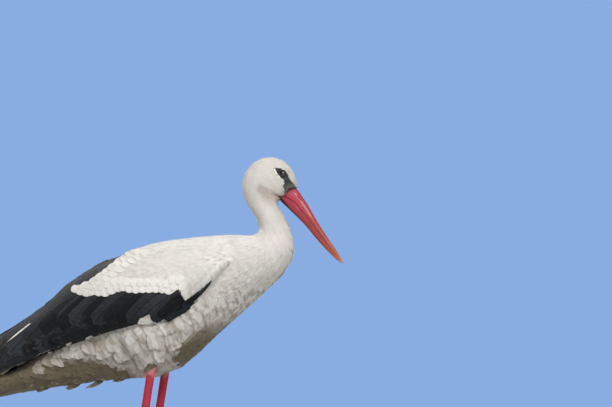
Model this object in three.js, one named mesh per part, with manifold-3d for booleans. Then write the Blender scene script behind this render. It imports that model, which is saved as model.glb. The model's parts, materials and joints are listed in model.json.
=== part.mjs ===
// White stork, a still life-size standing model in separate closed solids.
// Millimetres, +Z up, the bird faces +X and its right side is -Y. The soles stand on Z = 0.
import * as THREE from "three";
import { LoftGeometry } from "three/addons/geometries/LoftGeometry.js";
import { mergeVertices } from "three/addons/utils/BufferGeometryUtils.js";
import Module from "manifold-3d";

const wasm = await Module();
wasm.setup();

// Driving sizes
const gap = 0.4; // clear space between two pieces that meet
const weldDistance = 1e-4;
const cornerGrid = 0.02; // corners of a finished piece lie on this grid, so that none are nearly at one place
const crownHeight = 744.5;
const heelHeight = 224;
const eyeRadius = 7.6;
const eyeSideways = 19.4; // from the middle plane to the middle of the eyeball
const eyePlace = { x: 233.5, z: 710 };
const tailTipX = -389;
const wristX = 135; // bend of the folded wing
const wingTipX = -399;
const leftWingLift = 8; // how much higher the left wing tip lies than the right one
const liftCurve = 2.5; // how late along the wing that lift sets in
const shankRadius = 7.7;
const tarsusRadius = 6.8;
const heelRadius = 10.4;
const padRadius = 9.8;
const padHeight = 15;
const toeHalfWidth = 4.6;
const toeHeight = 8.6;
const clawLength = 10;

// Facets round each kind of ring
const bodyRing = 20;
const curveSteps = 3; // straight pieces in each rounded feather tip
const wingOuterSteps = 8;
const wingInnerSteps = 6;
const legRing = 12;
const billRing = 9;
const toeArc = 5;
const clawRing = 6;
const eyeSlices = 10;
const eyeRows = 8;

// Colours and finishes
const plumage = new THREE.MeshStandardMaterial({ color: 0xe9e5dc, roughness: 0.85, metalness: 0 });
const flightFeather = new THREE.MeshStandardMaterial({ color: 0x2a2d32, roughness: 0.6, metalness: 0 });
const redSkin = new THREE.MeshStandardMaterial({ color: 0xc8203c, roughness: 0.55, metalness: 0 });
const redHorn = new THREE.MeshStandardMaterial({ color: 0xc9343a, roughness: 0.35, metalness: 0 });
const eyeGloss = new THREE.MeshStandardMaterial({ color: 0x1a1412, roughness: 0.1, metalness: 0 });
const clawHorn = new THREE.MeshStandardMaterial({ color: 0x3a2a24, roughness: 0.4, metalness: 0 });

// Body sections from the face to the tail tip. Each runs from a point on the back line (x, z)
// to a point on the throat and belly line (x, z), with its half width to either side.
const bodySections = [
  { name: "bill base", back: [261, 681], belly: [227, 662], half: 12 },
  { name: "forehead", back: [259, 698], belly: [223, 660], half: 19 },
  { name: "brow", back: [250, 720.5], belly: [222, 659], half: 24 },
  { name: "fore crown", back: [233, 737.5], belly: [222, 657], half: 27 },
  { name: "crown", back: [206, crownHeight], belly: [222, 654.5], half: 29.5 },
  { name: "hind crown", back: [178.5, 734.5], belly: [223, 652], half: 30.5 },
  { name: "upper nape", back: [161, 713.5], belly: [225, 648], half: 30 },
  { name: "nape", back: [155, 690], belly: [228, 642], half: 29 },
  { name: "lower nape", back: [158.5, 669], belly: [234, 632.5], half: 28 },
  { name: "throat", back: [170, 647], belly: [240.5, 621], half: 28 },
  { name: "mid neck", back: [182.5, 627], belly: [246.5, 606], half: 29 },
  { name: "low neck", back: [188.5, 610], belly: [252, 587], half: 32 },
  { name: "neck root", back: [186, 599.5], belly: [254.5, 568], half: 38 },
  { name: "shoulder", back: [175, 594.2], belly: [251.5, 549], half: 46 },
  { name: "upper breast", back: [154, 594], belly: [243, 534], half: 56 },
  { name: "breast", back: [125, 593.8], belly: [228, 515], half: 66 },
  { name: "lower breast", back: [89, 592], belly: [194, 482.5], half: 73 },
  { name: "fore belly", back: [47.5, 587.5], belly: [144.5, 438], half: 77 },
  { name: "belly", back: [0, 581.5], belly: [95, 393], half: 77 },
  { name: "loins", back: [-47.5, 568], belly: [47.5, 347], half: 75 },
  { name: "flank", back: [-95, 541], belly: [-4, 328], half: 70 },
  { name: "hind flank", back: [-138, 500], belly: [-58, 323], half: 61 },
  { name: "vent", back: [-172, 452], belly: [-108, 318], half: 51 },
  { name: "rump", back: [-202, 408], belly: [-152, 312], half: 43 },
  { name: "tail root", back: [-238, 366], belly: [-198, 306], half: 37 },
  { name: "under tail", back: [-284, 331], belly: [-262, 296], half: 36 },
  { name: "mid tail", back: [-332, 303], belly: [-322, 284], half: 38 },
  { name: "hind tail", back: [-366, 285], belly: [-362, 274], half: 42 },
  { name: "tail tip", back: [tailTipX, 271.5], belly: [tailTipX, 266], half: 44 },
];
const bodyRows = 38;
const keelTaper = 0.1; // how much narrower the body is below than above

// Thin cuts that part the body, each from a back point (x, z) to a belly point (x, z).
const bodyCuts = [
  { below: "head", back: [156, 684], belly: [229, 640] },
  { below: "neck_upper", back: [184.5, 622], belly: [248.5, 600] },
  { below: "neck_lower", back: [170, 594.4], belly: [250.5, 545] },
  { below: "trunk", back: [-196, 418], belly: [-146, 313] },
];
const cutReach = 60; // how far a cut runs on past the surface

// Wing sections from the wrist to the tip. The upper and lower edges are (x, sideways, z), middle is how far
// aside the arch between them reaches, and the wing is out thick outside that arch and deep thick inside it.
const wingSections = [
  { name: "wrist", upper: [wristX, 70, 545], lower: [125, 75, 530], middle: 77, out: 4, deep: 8 },
  { name: "hand", upper: [103, 50, 568], lower: [99, 81, 499], middle: 86, out: 7.5, deep: 18 },
  { name: "fore wing", upper: [57, 36, 577], lower: [49.5, 82, 460], middle: 88, out: 9, deep: 26 },
  { name: "mid wing", upper: [9.5, 23, 577], lower: [4, 80, 421], middle: 88, out: 9, deep: 28 },
  { name: "elbow", upper: [-38, 13, 568], lower: [-40, 78, 421], middle: 86, out: 8.5, deep: 28 },
  { name: "tertial root", upper: [-85.5, 8, 555], lower: [-82, 76, 412], middle: 81, out: 7.5, deep: 26 },
  { name: "tertial", upper: [-129, 5.5, 536], lower: [-129, 69, 397], middle: 73, out: 7, deep: 24 },
  { name: "hind tertial", upper: [-175, 4.5, 504], lower: [-184, 58, 378], middle: 63, out: 6, deep: 20 },
  { name: "tertial tip", upper: [-222, 4.5, 458], lower: [-237.5, 48, 355], middle: 52, out: 5, deep: 14 },
  { name: "primary", upper: [-281, 5, 415], lower: [-289, 42, 329], middle: 44, out: 4, deep: 9 },
  { name: "hind primary", upper: [-338, 8, 377], lower: [-346, 36, 306], middle: 35, out: 3, deep: 5 },
  { name: "tip", upper: [wingTipX - 6, 17, 334], lower: [wingTipX - 6, 30, 288], middle: 27, out: 1.5, deep: 2 },
];
const wingRows = 17;
const wingEdge = 1; // thickness of the wing along its edges
const outerRound = 0.8; // how soon the wing gets its full thickness from its edges, outside
const innerRound = 0.6; // and inside

// Tips of the longest tertial and of the outer primaries in side view, with the notch before each.
const primaryTips = [
  { notch: [-300, 410], tip: [-333, 384] },
  { notch: [-327, 374], tip: [-357, 359] },
  { notch: [-351, 349], tip: [-377, 342] },
  { notch: [-371, 333], tip: [-391, 325] },
  { notch: [-385, 317], tip: [wingTipX, 309] },
];

// Seams of the folded wing in side view (x, z).
const covertSeam = [
  [-164, 487],
  [-146, 473],
  [-114, 471],
  [-77, 483],
  [-28, 480],
  [15, 476],
  [32.5, 496],
  [42, 479],
  [70, 425],
];
const tertialSeam = [
  [-44, 590],
  [-61, 558],
  [-94, 542],
  [-125, 525],
  [-146, 505],
  [-164, 487],
  [-192, 455],
  [-222, 427],
  [-262, 402],
  [-309, 383],
  [-350, 371],
];
const primarySeam = [
  [-118, 380],
  [-146, 402],
  [-184, 416],
  [-222, 427],
];
const alulaSeam = [
  [42, 479],
  [15, 456],
  [-13, 433],
  [-20, 400],
];
const wingParts = [
  { name: "wing_coverts", centre: [10, 520], material: plumage },
  { name: "wing_secondaries", centre: [-90, 435], material: flightFeather },
  { name: "wing_tertials", centre: [-190, 480], material: flightFeather },
  { name: "wing_primaries", centre: [-260, 350], material: flightFeather },
  { name: "wing_alula", centre: [20, 440], material: flightFeather },
];

// Feathered thigh from its root on the flank to the bare shin, as rings from rear to front.
const thighSections = [
  { rear: [-80, 440], front: [52, 450], sideways: 50, half: 24 },
  { rear: [-82, 405], front: [46, 412], sideways: 52, half: 27 },
  { rear: [-66, 375], front: [28, 384], sideways: 49, half: 23 },
  { rear: [-40, 354], front: [8, 362], sideways: 45, half: 15.5 },
  { rear: [-25, 337], front: [-2, 342], sideways: 42.5, half: 10 },
];

// Legs: the shin leans back down to the heel and the long foot bone leans forward to the toes.
const legs = [
  {
    side: "right",
    sign: -1,
    top: [-12.5, 43, 352],
    heel: [-31.5, 41, heelHeight],
    foot: [-8, 39, padHeight],
  },
  {
    side: "left",
    sign: 1,
    top: [10, 43, 352],
    heel: [-9.5, 41, heelHeight],
    foot: [15, 40, padHeight],
  },
];
const shankProfile = [
  [0, 1.08],
  [0.25, 1.02],
  [0.55, 0.97],
  [0.8, 1.04],
  [0.92, 1.24],
  [1, heelRadius / shankRadius],
];
const tarsusProfile = [
  [0, heelRadius / tarsusRadius],
  [0.035, 1.47],
  [0.08, 1.22],
  [0.16, 1.06],
  [0.5, 0.97],
  [0.85, 1.02],
  [0.95, 1.16],
  [1, 1.24],
];
const padProfile = [
  [0, 0.86],
  [0.16, 1],
  [0.55, 1.04],
  [0.85, 0.95],
  [1, 0.88],
];

// Toes: angle outwards from straight ahead in degrees, length, and where each leaves the pad.
const toes = [
  { name: "toe_middle", turn: 4, length: 78, aside: 0, scale: 1 },
  { name: "toe_outer", turn: 36, length: 68, aside: 6.2, scale: 0.95 },
  { name: "toe_inner", turn: -28, length: 61, aside: -6.2, scale: 0.92 },
  { name: "toe_hind", turn: 186, length: 29, aside: 0, scale: 0.8 },
];
const toeProfile = [
  [0, 1],
  [0.22, 0.97],
  [0.32, 1.05],
  [0.4, 0.93],
  [0.58, 0.88],
  [0.66, 0.97],
  [0.74, 0.83],
  [0.93, 0.76],
  [1, 0.55],
];
const toeStart = 5; // where a toe begins, measured from the middle of the pad

// Bill halves: each section runs from the ridge line (x, z) to the mouth line (x, z).
const upperBill = [
  { ridge: [252, 692], edge: [232, 673], half: 11.5 },
  { ridge: [262, 680.5], edge: [242, 664.5], half: 11.3 },
  { ridge: [271, 667.5], edge: [256.5, 655.5], half: 10.4 },
  { ridge: [280.5, 653], edge: [268, 641.5], half: 9.4 },
  { ridge: [298, 622.5], edge: [288.5, 616.5], half: 7.7 },
  { ridge: [315.5, 594.5], edge: [308, 590.5], half: 6.2 },
  { ridge: [333, 568.5], edge: [327, 565.5], half: 4.4 },
  { ridge: [344.5, 550], edge: [341, 548], half: 2.2 },
  { ridge: [349.2, 541.6], edge: [348, 541], half: 0.7 },
];
const lowerBill = [
  { ridge: [221, 671], edge: [231.5, 672.5], half: 10.6 },
  { ridge: [229, 660], edge: [241.5, 664], half: 10.6 },
  { ridge: [241, 648], edge: [256, 655], half: 10 },
  { ridge: [254.5, 635], edge: [267.5, 641], half: 9 },
  { ridge: [276.5, 612.5], edge: [288, 616], half: 7.3 },
  { ridge: [298, 586.5], edge: [307.5, 590], half: 5.8 },
  { ridge: [320, 562.5], edge: [326.5, 565], half: 4 },
  { ridge: [338, 545.5], edge: [340.5, 547.5], half: 2 },
  { ridge: [345.8, 539.8], edge: [346.6, 540.6], half: 0.7 },
];

// A closed geometry becomes a solid: corners at one place are joined and faces without area left out.
function makeSolid(geometry) {
  const bare = new THREE.BufferGeometry();
  bare.setAttribute("position", geometry.getAttribute("position"));
  bare.setIndex(geometry.index);
  const welded = mergeVertices(bare, weldDistance);
  const corners = welded.index.array;
  const kept = [];
  for (let i = 0; i < corners.length; i += 3) {
    const [a, b, c] = corners.slice(i, i + 3);
    if (a !== b && b !== c && c !== a) {
      kept.push([a, b, c]);
    }
  }
  const build = (faces) =>
    new wasm.Manifold(
      new wasm.Mesh({
        numProp: 3,
        vertProperties: new Float32Array(welded.getAttribute("position").array),
        triVerts: new Uint32Array(faces.flat()),
      }),
    );
  const made = build(kept);
  return made.volume() > 0 ? made : build(kept.map(([a, b, c]) => [a, c, b]));
}

// A skin through rings of points, closed at both ends by a fan to the middle of the end ring.
// The end rings are moved outwards by grow.
function loft(rings, grow = 0) {
  const centre = (ring) => ring.reduce((sum, p) => sum.add(p), new THREE.Vector3()).divideScalar(ring.length);
  const moved = (ring, next) => {
    const outwards = centre(ring).sub(centre(next)).setLength(grow);
    return ring.map((p) => p.clone().add(outwards));
  };
  const last = rings.length - 1;
  const first = moved(rings[0], rings[1]);
  const end = moved(rings[last], rings[last - 1]);
  const caps = [first, end].map((ring) => ring.map(() => centre(ring)));
  return makeSolid(new LoftGeometry([caps[0], first, ...rings.slice(1, last), end, caps[1]]));
}

// A side-view outline (x, z) swept sideways between two Y values.
function sideSweep(outline, fromY, toY) {
  const options = { depth: toY - fromY, curveSegments: curveSteps, bevelEnabled: false };
  const geometry = new THREE.ExtrudeGeometry(outline, options);
  geometry.rotateX(Math.PI / 2);
  geometry.translate(0, toY, 0);
  return makeSolid(geometry);
}

// A thin band one gap wide along a side-view line, for parting a piece.
function seamBand(line) {
  const points = line.map(([x, z]) => new THREE.Vector2(x, z));
  const shifted = (sign) =>
    points.map((point, i) => {
      const before = points[Math.max(i - 1, 0)];
      const after = points[Math.min(i + 1, points.length - 1)];
      const along = after.clone().sub(before).normalize();
      const across = new THREE.Vector2(-along.y, along.x);
      return point.clone().addScaledVector(across, (sign * gap) / 2);
    });
  return new THREE.Shape([...shifted(1), ...shifted(-1).reverse()]);
}

// Smooth values between named sections: each row is interpolated with a Catmull-Rom curve.
function smoothRows(rows, count) {
  const curves = rows[0].map((_, column) => {
    const points = rows.map((row) => new THREE.Vector3(...row[column]));
    return new THREE.CatmullRomCurve3(points, false, "centripetal");
  });
  return Array.from({ length: count + 1 }, (_, i) => curves.map((curve) => curve.getPoint(i / count)));
}

// Head, neck, trunk and tail in one skin, made larger all round by grow.
function bodyShape(grow = 0) {
  const rows = bodySections.map(({ back, belly, half }) => [
    [back[0], half, back[1]],
    [belly[0], half, belly[1]],
  ]);
  const rings = smoothRows(rows, bodyRows).map(([back, belly]) => {
    const half = back.y + grow;
    const top = new THREE.Vector2(back.x, back.z);
    const bottom = new THREE.Vector2(belly.x, belly.z);
    const centre = top.clone().add(bottom).multiplyScalar(0.5);
    const reach = top.sub(centre);
    reach.setLength(reach.length() + grow);
    return Array.from({ length: bodyRing }, (_, i) => {
      const angle = (2 * Math.PI * i) / bodyRing;
      const sideways = half * Math.sin(angle) * (1 + keelTaper * Math.cos(angle));
      const x = centre.x + reach.x * Math.cos(angle);
      const z = centre.y + reach.y * Math.cos(angle);
      return new THREE.Vector3(x, sideways, z);
    });
  });
  return loft(rings, grow);
}

// Rounded feather ends of the fanned tail, seen from above.
function tailTrim() {
  const outline = new THREE.Shape();
  const feathers = 7;
  const span = 96;
  const notchDepth = 5;
  const roundness = 9; // how far the outer feathers end before the middle ones
  const farAhead = 420;
  const farAside = 200;
  outline.moveTo(farAhead, -farAside);
  outline.lineTo(tailTipX + 70, -farAside);
  outline.lineTo(tailTipX + roundness + 12, -span / 2);
  for (let i = 0; i < feathers; i += 1) {
    const from = -span / 2 + (span * i) / feathers;
    const to = from + span / feathers;
    const outer = Math.abs((i + 0.5) / feathers - 0.5) * 2;
    const end = tailTipX + 1 + roundness * outer * outer;
    outline.lineTo(end + notchDepth, from + 0.5);
    outline.quadraticCurveTo(end - notchDepth, (from + to) / 2, end + notchDepth, to - 0.5);
  }
  outline.lineTo(tailTipX + roundness + 12, span / 2);
  outline.lineTo(tailTipX + 70, farAside);
  outline.lineTo(farAhead, farAside);
  const options = { depth: 2 * crownHeight, curveSegments: curveSteps, bevelEnabled: false };
  const geometry = new THREE.ExtrudeGeometry(outline, options);
  geometry.translate(0, 0, -crownHeight);
  return makeSolid(geometry);
}

// Side-view outline that holds the whole wing and steps in and out round the feather tips at its rear.
function wingTrim(lift) {
  const outline = new THREE.Shape();
  outline.moveTo(300, 800);
  outline.lineTo(-240, 800);
  outline.lineTo(-250, primaryTips[0].notch[1] + 90);
  for (const { notch, tip } of primaryTips) {
    outline.lineTo(notch[0], notch[1] + lift(notch[0]));
    const shoulder = [tip[0] + 4, tip[1] + 7];
    outline.lineTo(shoulder[0], shoulder[1] + lift(shoulder[0]));
    outline.quadraticCurveTo(tip[0] - 1, tip[1] + lift(tip[0]), tip[0] + 3, tip[1] - 7 + lift(tip[0]));
  }
  outline.lineTo(-352, 301 + lift(-352));
  outline.lineTo(-300, 200);
  outline.lineTo(300, 200);
  return outline;
}

// How much the wing is raised at x, for a wing whose tip is raised by tipLift.
function liftAt(x, tipLift) {
  return tipLift * Math.max(0, (wristX - x) / (wristX - wingTipX)) ** liftCurve;
}

// One folded wing in one piece, made thicker by grow on both sides. The sign is +1 for the left wing.
function wholeWing(sign, tipLift, grow = 0) {
  const lift = (x) => liftAt(x, tipLift);
  const rows = wingSections.map(({ upper, lower, middle, out, deep }) => [upper, lower, [middle, out, deep]]);
  const rings = smoothRows(rows, wingRows).map(([upper, lower, shape]) => {
    const control = 2 * shape.x - (upper.y + lower.y) / 2;
    const tall = Math.hypot(upper.x - lower.x, upper.z - lower.z);
    const place = (s, offset) => {
      const sideways = (1 - s) ** 2 * upper.y + 2 * s * (1 - s) * control + s ** 2 * lower.y;
      const slope = (2 * (1 - s) * (control - upper.y) + 2 * s * (lower.y - control)) / tall;
      const turn = Math.atan(slope);
      const along = s - (offset * Math.sin(turn)) / tall;
      const x = upper.x + (lower.x - upper.x) * along;
      const z = upper.z + (lower.z - upper.z) * along + lift(x);
      return new THREE.Vector3(x, sign * (sideways + offset * Math.cos(turn)), z);
    };
    const edge = wingEdge / 2;
    const bulge = (s, most, round) => edge + grow + (most - edge) * Math.sin(Math.PI * s) ** round;
    const outer = Array.from({ length: wingOuterSteps + 1 }, (_, i) => i / wingOuterSteps);
    const inner = Array.from({ length: wingInnerSteps + 1 }, (_, i) => 1 - i / wingInnerSteps);
    const outerSide = outer.map((s) => place(s, bulge(s, shape.y, outerRound)));
    const innerSide = inner.map((s) => place(s, -bulge(s, shape.z, innerRound)));
    return [...outerSide, ...innerSide];
  });
  return loft(rings, grow).intersect(sideSweep(wingTrim(lift), -150, 150));
}

// One folded wing, cut along its seams.
function partedWing(sign, tipLift) {
  let shape = wholeWing(sign, tipLift);
  for (const seam of [covertSeam, tertialSeam, primarySeam, alulaSeam]) {
    const raised = seam.map(([x, z]) => [x, z + liftAt(x, tipLift)]);
    shape = shape.subtract(sideSweep(seamBand(raised), -150, 150));
  }
  return shape;
}

// The feathered thigh as rings that lie nearly level.
function thigh(sign) {
  const rings = thighSections.map(({ rear, front, sideways, half }) =>
    Array.from({ length: legRing }, (_, i) => {
      const angle = (2 * Math.PI * i) / legRing;
      const along = (1 + Math.cos(angle)) / 2;
      const x = rear[0] + (front[0] - rear[0]) * along;
      const z = rear[1] + (front[1] - rear[1]) * along;
      return new THREE.Vector3(x, sign * (sideways + half * Math.sin(angle)), z);
    }),
  );
  return loft(rings);
}

// A leg bone between two places (x, sideways, z), with its radius given along the way.
function legBone(from, to, profile, radius, sign, grow = 0) {
  const rings = profile.map(([along, factor]) =>
    Array.from({ length: legRing }, (_, i) => {
      const angle = (2 * Math.PI * i) / legRing;
      const wide = radius * factor + grow;
      const centre = from.map((value, axis) => value + (to[axis] - value) * along);
      const x = centre[0] + wide * 1.04 * Math.cos(angle);
      const y = sign * centre[1] + wide * 0.96 * Math.sin(angle);
      return new THREE.Vector3(x, y, centre[2]);
    }),
  );
  return loft(rings, grow);
}

// The bare shin, from inside the thigh to the heel.
function shankShape({ top, heel, sign }, grow = 0) {
  const end = [heel[0], heel[1], heel[2] + gap / 2];
  return legBone(top, end, shankProfile, shankRadius, sign, grow);
}

// A flat-soled bar along the floor: rounded above, level below.
function toeRing(centre, aside, half, height, lowest) {
  const corner = (sign) => new THREE.Vector3(centre.x, centre.y, lowest).addScaledVector(aside, sign * half * 0.62);
  const arc = Array.from({ length: toeArc + 1 }, (_, i) => {
    const angle = (Math.PI * i) / toeArc;
    const up = lowest + (height - lowest) * (0.42 + 0.58 * Math.sin(angle));
    return new THREE.Vector3(centre.x, centre.y, up).addScaledVector(aside, half * Math.cos(angle));
  });
  return [corner(1), ...arc, corner(-1)];
}

// A toe and its claw, from the middle of the pad outwards.
function toeAndClaw(toe, pad, sign) {
  const turn = THREE.MathUtils.degToRad(toe.turn) * sign;
  const ahead = new THREE.Vector3(Math.cos(turn), Math.sin(turn), 0);
  const aside = new THREE.Vector3(-ahead.y, ahead.x, 0);
  const start = new THREE.Vector3(pad[0], sign * (pad[1] + toe.aside), 0);
  start.addScaledVector(ahead, toeStart);
  const rings = toeProfile.map(([along, factor]) => {
    const centre = start.clone().addScaledVector(ahead, toe.length * along);
    return toeRing(centre, aside, toeHalfWidth * toe.scale * factor, toeHeight * toe.scale * factor, 0);
  });
  const clawProfile = [
    { out: 0, half: 2.2, lowest: 1.2, highest: 5.2 },
    { out: 0.35, half: 1.9, lowest: 1.3, highest: 5.1 },
    { out: 0.7, half: 1.4, lowest: 1, highest: 3.9 },
    { out: 1, half: 0.6, lowest: 0.7, highest: 1.9 },
  ];
  const clawRings = clawProfile.map(({ out, half, lowest, highest }) => {
    const centre = start.clone().addScaledVector(ahead, toe.length + gap + clawLength * toe.scale * out);
    const middle = (lowest + highest) / 2;
    return Array.from({ length: clawRing }, (_, i) => {
      const angle = (2 * Math.PI * i) / clawRing;
      const up = middle + ((highest - lowest) / 2) * Math.sin(angle);
      return new THREE.Vector3(centre.x, centre.y, up).addScaledVector(aside, half * Math.cos(angle));
    });
  });
  return { toe: loft(rings), claw: loft(clawRings) };
}

// One half of the bill: round over the ridge and flat along the mouth line.
function billHalf(sections, grow = 0) {
  const rings = sections.map(({ ridge, edge, half }) => {
    const reach = new THREE.Vector2(ridge[0] - edge[0], ridge[1] - edge[1]);
    const length = reach.length();
    reach.normalize();
    return Array.from({ length: billRing + 1 }, (_, i) => {
      const angle = (Math.PI * i) / billRing;
      const up = (length + 2 * grow) * Math.sin(angle) ** 0.9 - grow;
      const sideways = (half + grow) * Math.cos(angle);
      return new THREE.Vector3(edge[0] + reach.x * up, sideways, edge[1] + reach.y * up);
    });
  });
  return loft(rings, grow);
}

function eyeball(sign, grow = 0) {
  const geometry = new THREE.SphereGeometry(eyeRadius + grow, eyeSlices, eyeRows);
  geometry.rotateX(Math.PI / 2);
  geometry.translate(eyePlace.x, sign * eyeSideways, eyePlace.z);
  return makeSolid(geometry);
}

// The separate bodies of a parted solid, each picked by the place nearest its middle (x, z).
function pieceNear(pieces, [x, z]) {
  const distance = (piece) => {
    const { min, max } = piece.boundingBox();
    return Math.hypot((min[0] + max[0]) / 2 - x, (min[2] + max[2]) / 2 - z);
  };
  return pieces.reduce((best, piece) => (distance(piece) < distance(best) ? piece : best));
}

const stork = new THREE.Group();

function toGeometry(solid, place) {
  const { vertProperties, triVerts } = solid.getMesh();
  const geometry = new THREE.BufferGeometry();
  geometry.setAttribute("position", new THREE.BufferAttribute(Float32Array.from(vertProperties, place), 3));
  geometry.setIndex(new THREE.BufferAttribute(new Uint32Array(triVerts), 1));
  return geometry;
}

function addPiece(name, solid, material) {
  const onGrid = makeSolid(toGeometry(solid, (value) => Math.round(value / cornerGrid) * cornerGrid));
  const geometry = toGeometry(onGrid, (value) => value);
  geometry.computeVertexNormals();
  const mesh = new THREE.Mesh(geometry, material);
  mesh.name = name;
  stork.add(mesh);
}

// Bill and eyes, and the room that they need in the head
addPiece("bill_upper", billHalf(upperBill), redHorn);
addPiece("bill_lower", billHalf(lowerBill), redHorn);
addPiece("eye_right", eyeball(-1), eyeGloss);
addPiece("eye_left", eyeball(1), eyeGloss);

// Body, parted at the throat, the neck and the tail root
let body = bodyShape().intersect(tailTrim());
for (const cut of bodyCuts) {
  const back = new THREE.Vector2(...cut.back);
  const belly = new THREE.Vector2(...cut.belly);
  const along = belly.clone().sub(back).normalize();
  const from = back.addScaledVector(along, -cutReach);
  const to = belly.addScaledVector(along, cutReach);
  body = body.subtract(sideSweep(seamBand([from.toArray(), to.toArray()]), -150, 150));
}
const shankRooms = legs.map((leg) => shankShape(leg, gap));
const faceRooms = [billHalf(upperBill, gap), billHalf(lowerBill, gap), eyeball(1, gap), eyeball(-1, gap)];
for (const room of [...faceRooms, ...shankRooms]) {
  body = body.subtract(room);
}
const bodyPieces = body.decompose();
for (const [name, centre] of [
  ["head", [205, 700]],
  ["neck_upper", [205, 640]],
  ["neck_lower", [213, 590]],
  ["trunk", [20, 460]],
  ["tail", [-290, 330]],
]) {
  addPiece(name, pieceNear(bodyPieces, centre), plumage);
}

// Folded wings lie on the trunk
const trunkRoom = bodyShape(gap);
for (const [side, sign, tipLift] of [
  ["right", -1, 0],
  ["left", 1, leftWingLift],
]) {
  const pieces = partedWing(sign, tipLift).subtract(trunkRoom).decompose();
  for (const { name, centre, material } of wingParts) {
    addPiece(`${name}_${side}`, pieceNear(pieces, centre), material);
  }
}

// Thighs, shins, feet, toes and claws
for (const leg of legs) {
  const { side, sign, heel, foot } = leg;
  const belowHeel = [heel[0], heel[1], heel[2] - gap / 2];
  const pad = [foot[0] + 1, foot[1], padHeight];
  const padBottom = [pad[0], pad[1], 0];
  const padTop = [pad[0], pad[1], padHeight - gap];
  const padRoom = legBone([pad[0], pad[1], -1], padTop, padProfile, padRadius, sign, gap);
  const wingRoom = wholeWing(sign, side === "left" ? leftWingLift : 0, gap);
  const thighShape = thigh(sign).subtract(trunkRoom).subtract(shankShape(leg, gap)).subtract(wingRoom);
  addPiece(`thigh_${side}`, pieceNear(thighShape.decompose(), [-15, 370]), plumage);
  addPiece(`shank_${side}`, shankShape(leg), redSkin);
  addPiece(`tarsus_${side}`, legBone(belowHeel, foot, tarsusProfile, tarsusRadius, sign), redSkin);
  addPiece(`foot_${side}`, legBone(padBottom, padTop, padProfile, padRadius, sign), redSkin);
  for (const toe of toes) {
    const made = toeAndClaw(toe, pad, sign);
    addPiece(`${toe.name}_${side}`, made.toe.subtract(padRoom), redSkin);
    addPiece(`${toe.name.replace("toe", "claw")}_${side}`, made.claw, clawHorn);
  }
}

// The origin lies under the middle of the whole bird, on the floor.
const box = new THREE.Box3().setFromObject(stork);
const middle = box.getCenter(new THREE.Vector3());
stork.position.set(-middle.x, -middle.y, 0);

const model = new THREE.Group();
model.add(stork);

export default model;
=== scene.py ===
# White stork, a still life-size model in its coat of feathers.
import json
import math
from functools import partial

import bmesh
import bpy
import numpy as np
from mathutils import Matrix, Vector
from mathutils.bvhtree import BVHTree

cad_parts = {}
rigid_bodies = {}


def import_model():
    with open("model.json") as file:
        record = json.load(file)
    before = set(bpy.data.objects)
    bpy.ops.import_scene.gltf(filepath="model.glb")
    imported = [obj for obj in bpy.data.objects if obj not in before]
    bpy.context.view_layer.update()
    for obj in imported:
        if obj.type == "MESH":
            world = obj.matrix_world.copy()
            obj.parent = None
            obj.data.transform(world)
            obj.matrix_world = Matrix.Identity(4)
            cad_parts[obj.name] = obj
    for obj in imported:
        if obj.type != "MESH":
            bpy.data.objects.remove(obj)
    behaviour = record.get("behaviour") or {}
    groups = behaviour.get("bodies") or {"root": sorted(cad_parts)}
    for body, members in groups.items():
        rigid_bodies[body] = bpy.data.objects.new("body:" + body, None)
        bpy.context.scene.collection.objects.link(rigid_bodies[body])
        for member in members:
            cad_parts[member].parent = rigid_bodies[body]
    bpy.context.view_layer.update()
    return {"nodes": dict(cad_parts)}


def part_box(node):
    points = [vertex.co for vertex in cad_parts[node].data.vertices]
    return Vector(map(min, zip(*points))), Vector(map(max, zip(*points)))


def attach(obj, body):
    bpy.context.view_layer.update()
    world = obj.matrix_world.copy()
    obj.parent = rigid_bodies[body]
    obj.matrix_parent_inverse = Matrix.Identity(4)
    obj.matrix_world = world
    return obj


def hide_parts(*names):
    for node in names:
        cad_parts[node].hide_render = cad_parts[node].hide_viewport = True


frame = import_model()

scene = bpy.context.scene
scene.view_settings.view_transform = "Standard"

# Places are given in millimetres: x ahead, y to the left, z up. The right eye sets where x starts.
eye = {"x": 233.5, "z": 710.0, "aside": 19.4, "radius": 7.6}
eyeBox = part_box("eye_right")
ahead = (eyeBox[0][0] + eyeBox[1][0]) * 500 - eye["x"]
sides = {"right": -1, "left": 1}


def toMetres(places):
    return (np.asarray(places, float) + (ahead, 0, 0)) / 1000


def toMillimetres(places):
    return np.asarray(places, float) * 1000 - (ahead, 0, 0)


def smoothStep(low, high, value):
    t = np.clip((np.asarray(value, float) - low) / (high - low), 0, 1)
    return t * t * (3 - 2 * t)


def unit(vectors):
    return vectors / np.maximum(np.linalg.norm(vectors, axis=-1, keepdims=True), 1e-9)


def linear(code):
    parts = [int(code[i : i + 2], 16) / 255 for i in (1, 3, 5)]
    return [c / 12.92 if c <= 0.04045 else ((c + 0.055) / 1.055) ** 2.4 for c in parts] + [1]


choices = {"Math": "operation", "VectorMath": "operation", "Mix": "data_type",
           "MapRange": "interpolation_type", "Attribute": "attribute_name"}


def feed(tree, socket, source):
    # the source is a value, a colour in hex, a node or one of its sockets
    if isinstance(source, bpy.types.Node):
        outs = [out for out in source.outputs if out.enabled]
        source = next((out for out in outs if out.type == socket.type), outs[0])
    if isinstance(source, bpy.types.NodeSocket):
        tree.links.new(source, socket)
    else:
        socket.default_value = linear(source) if socket.type == "RGBA" else source


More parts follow.
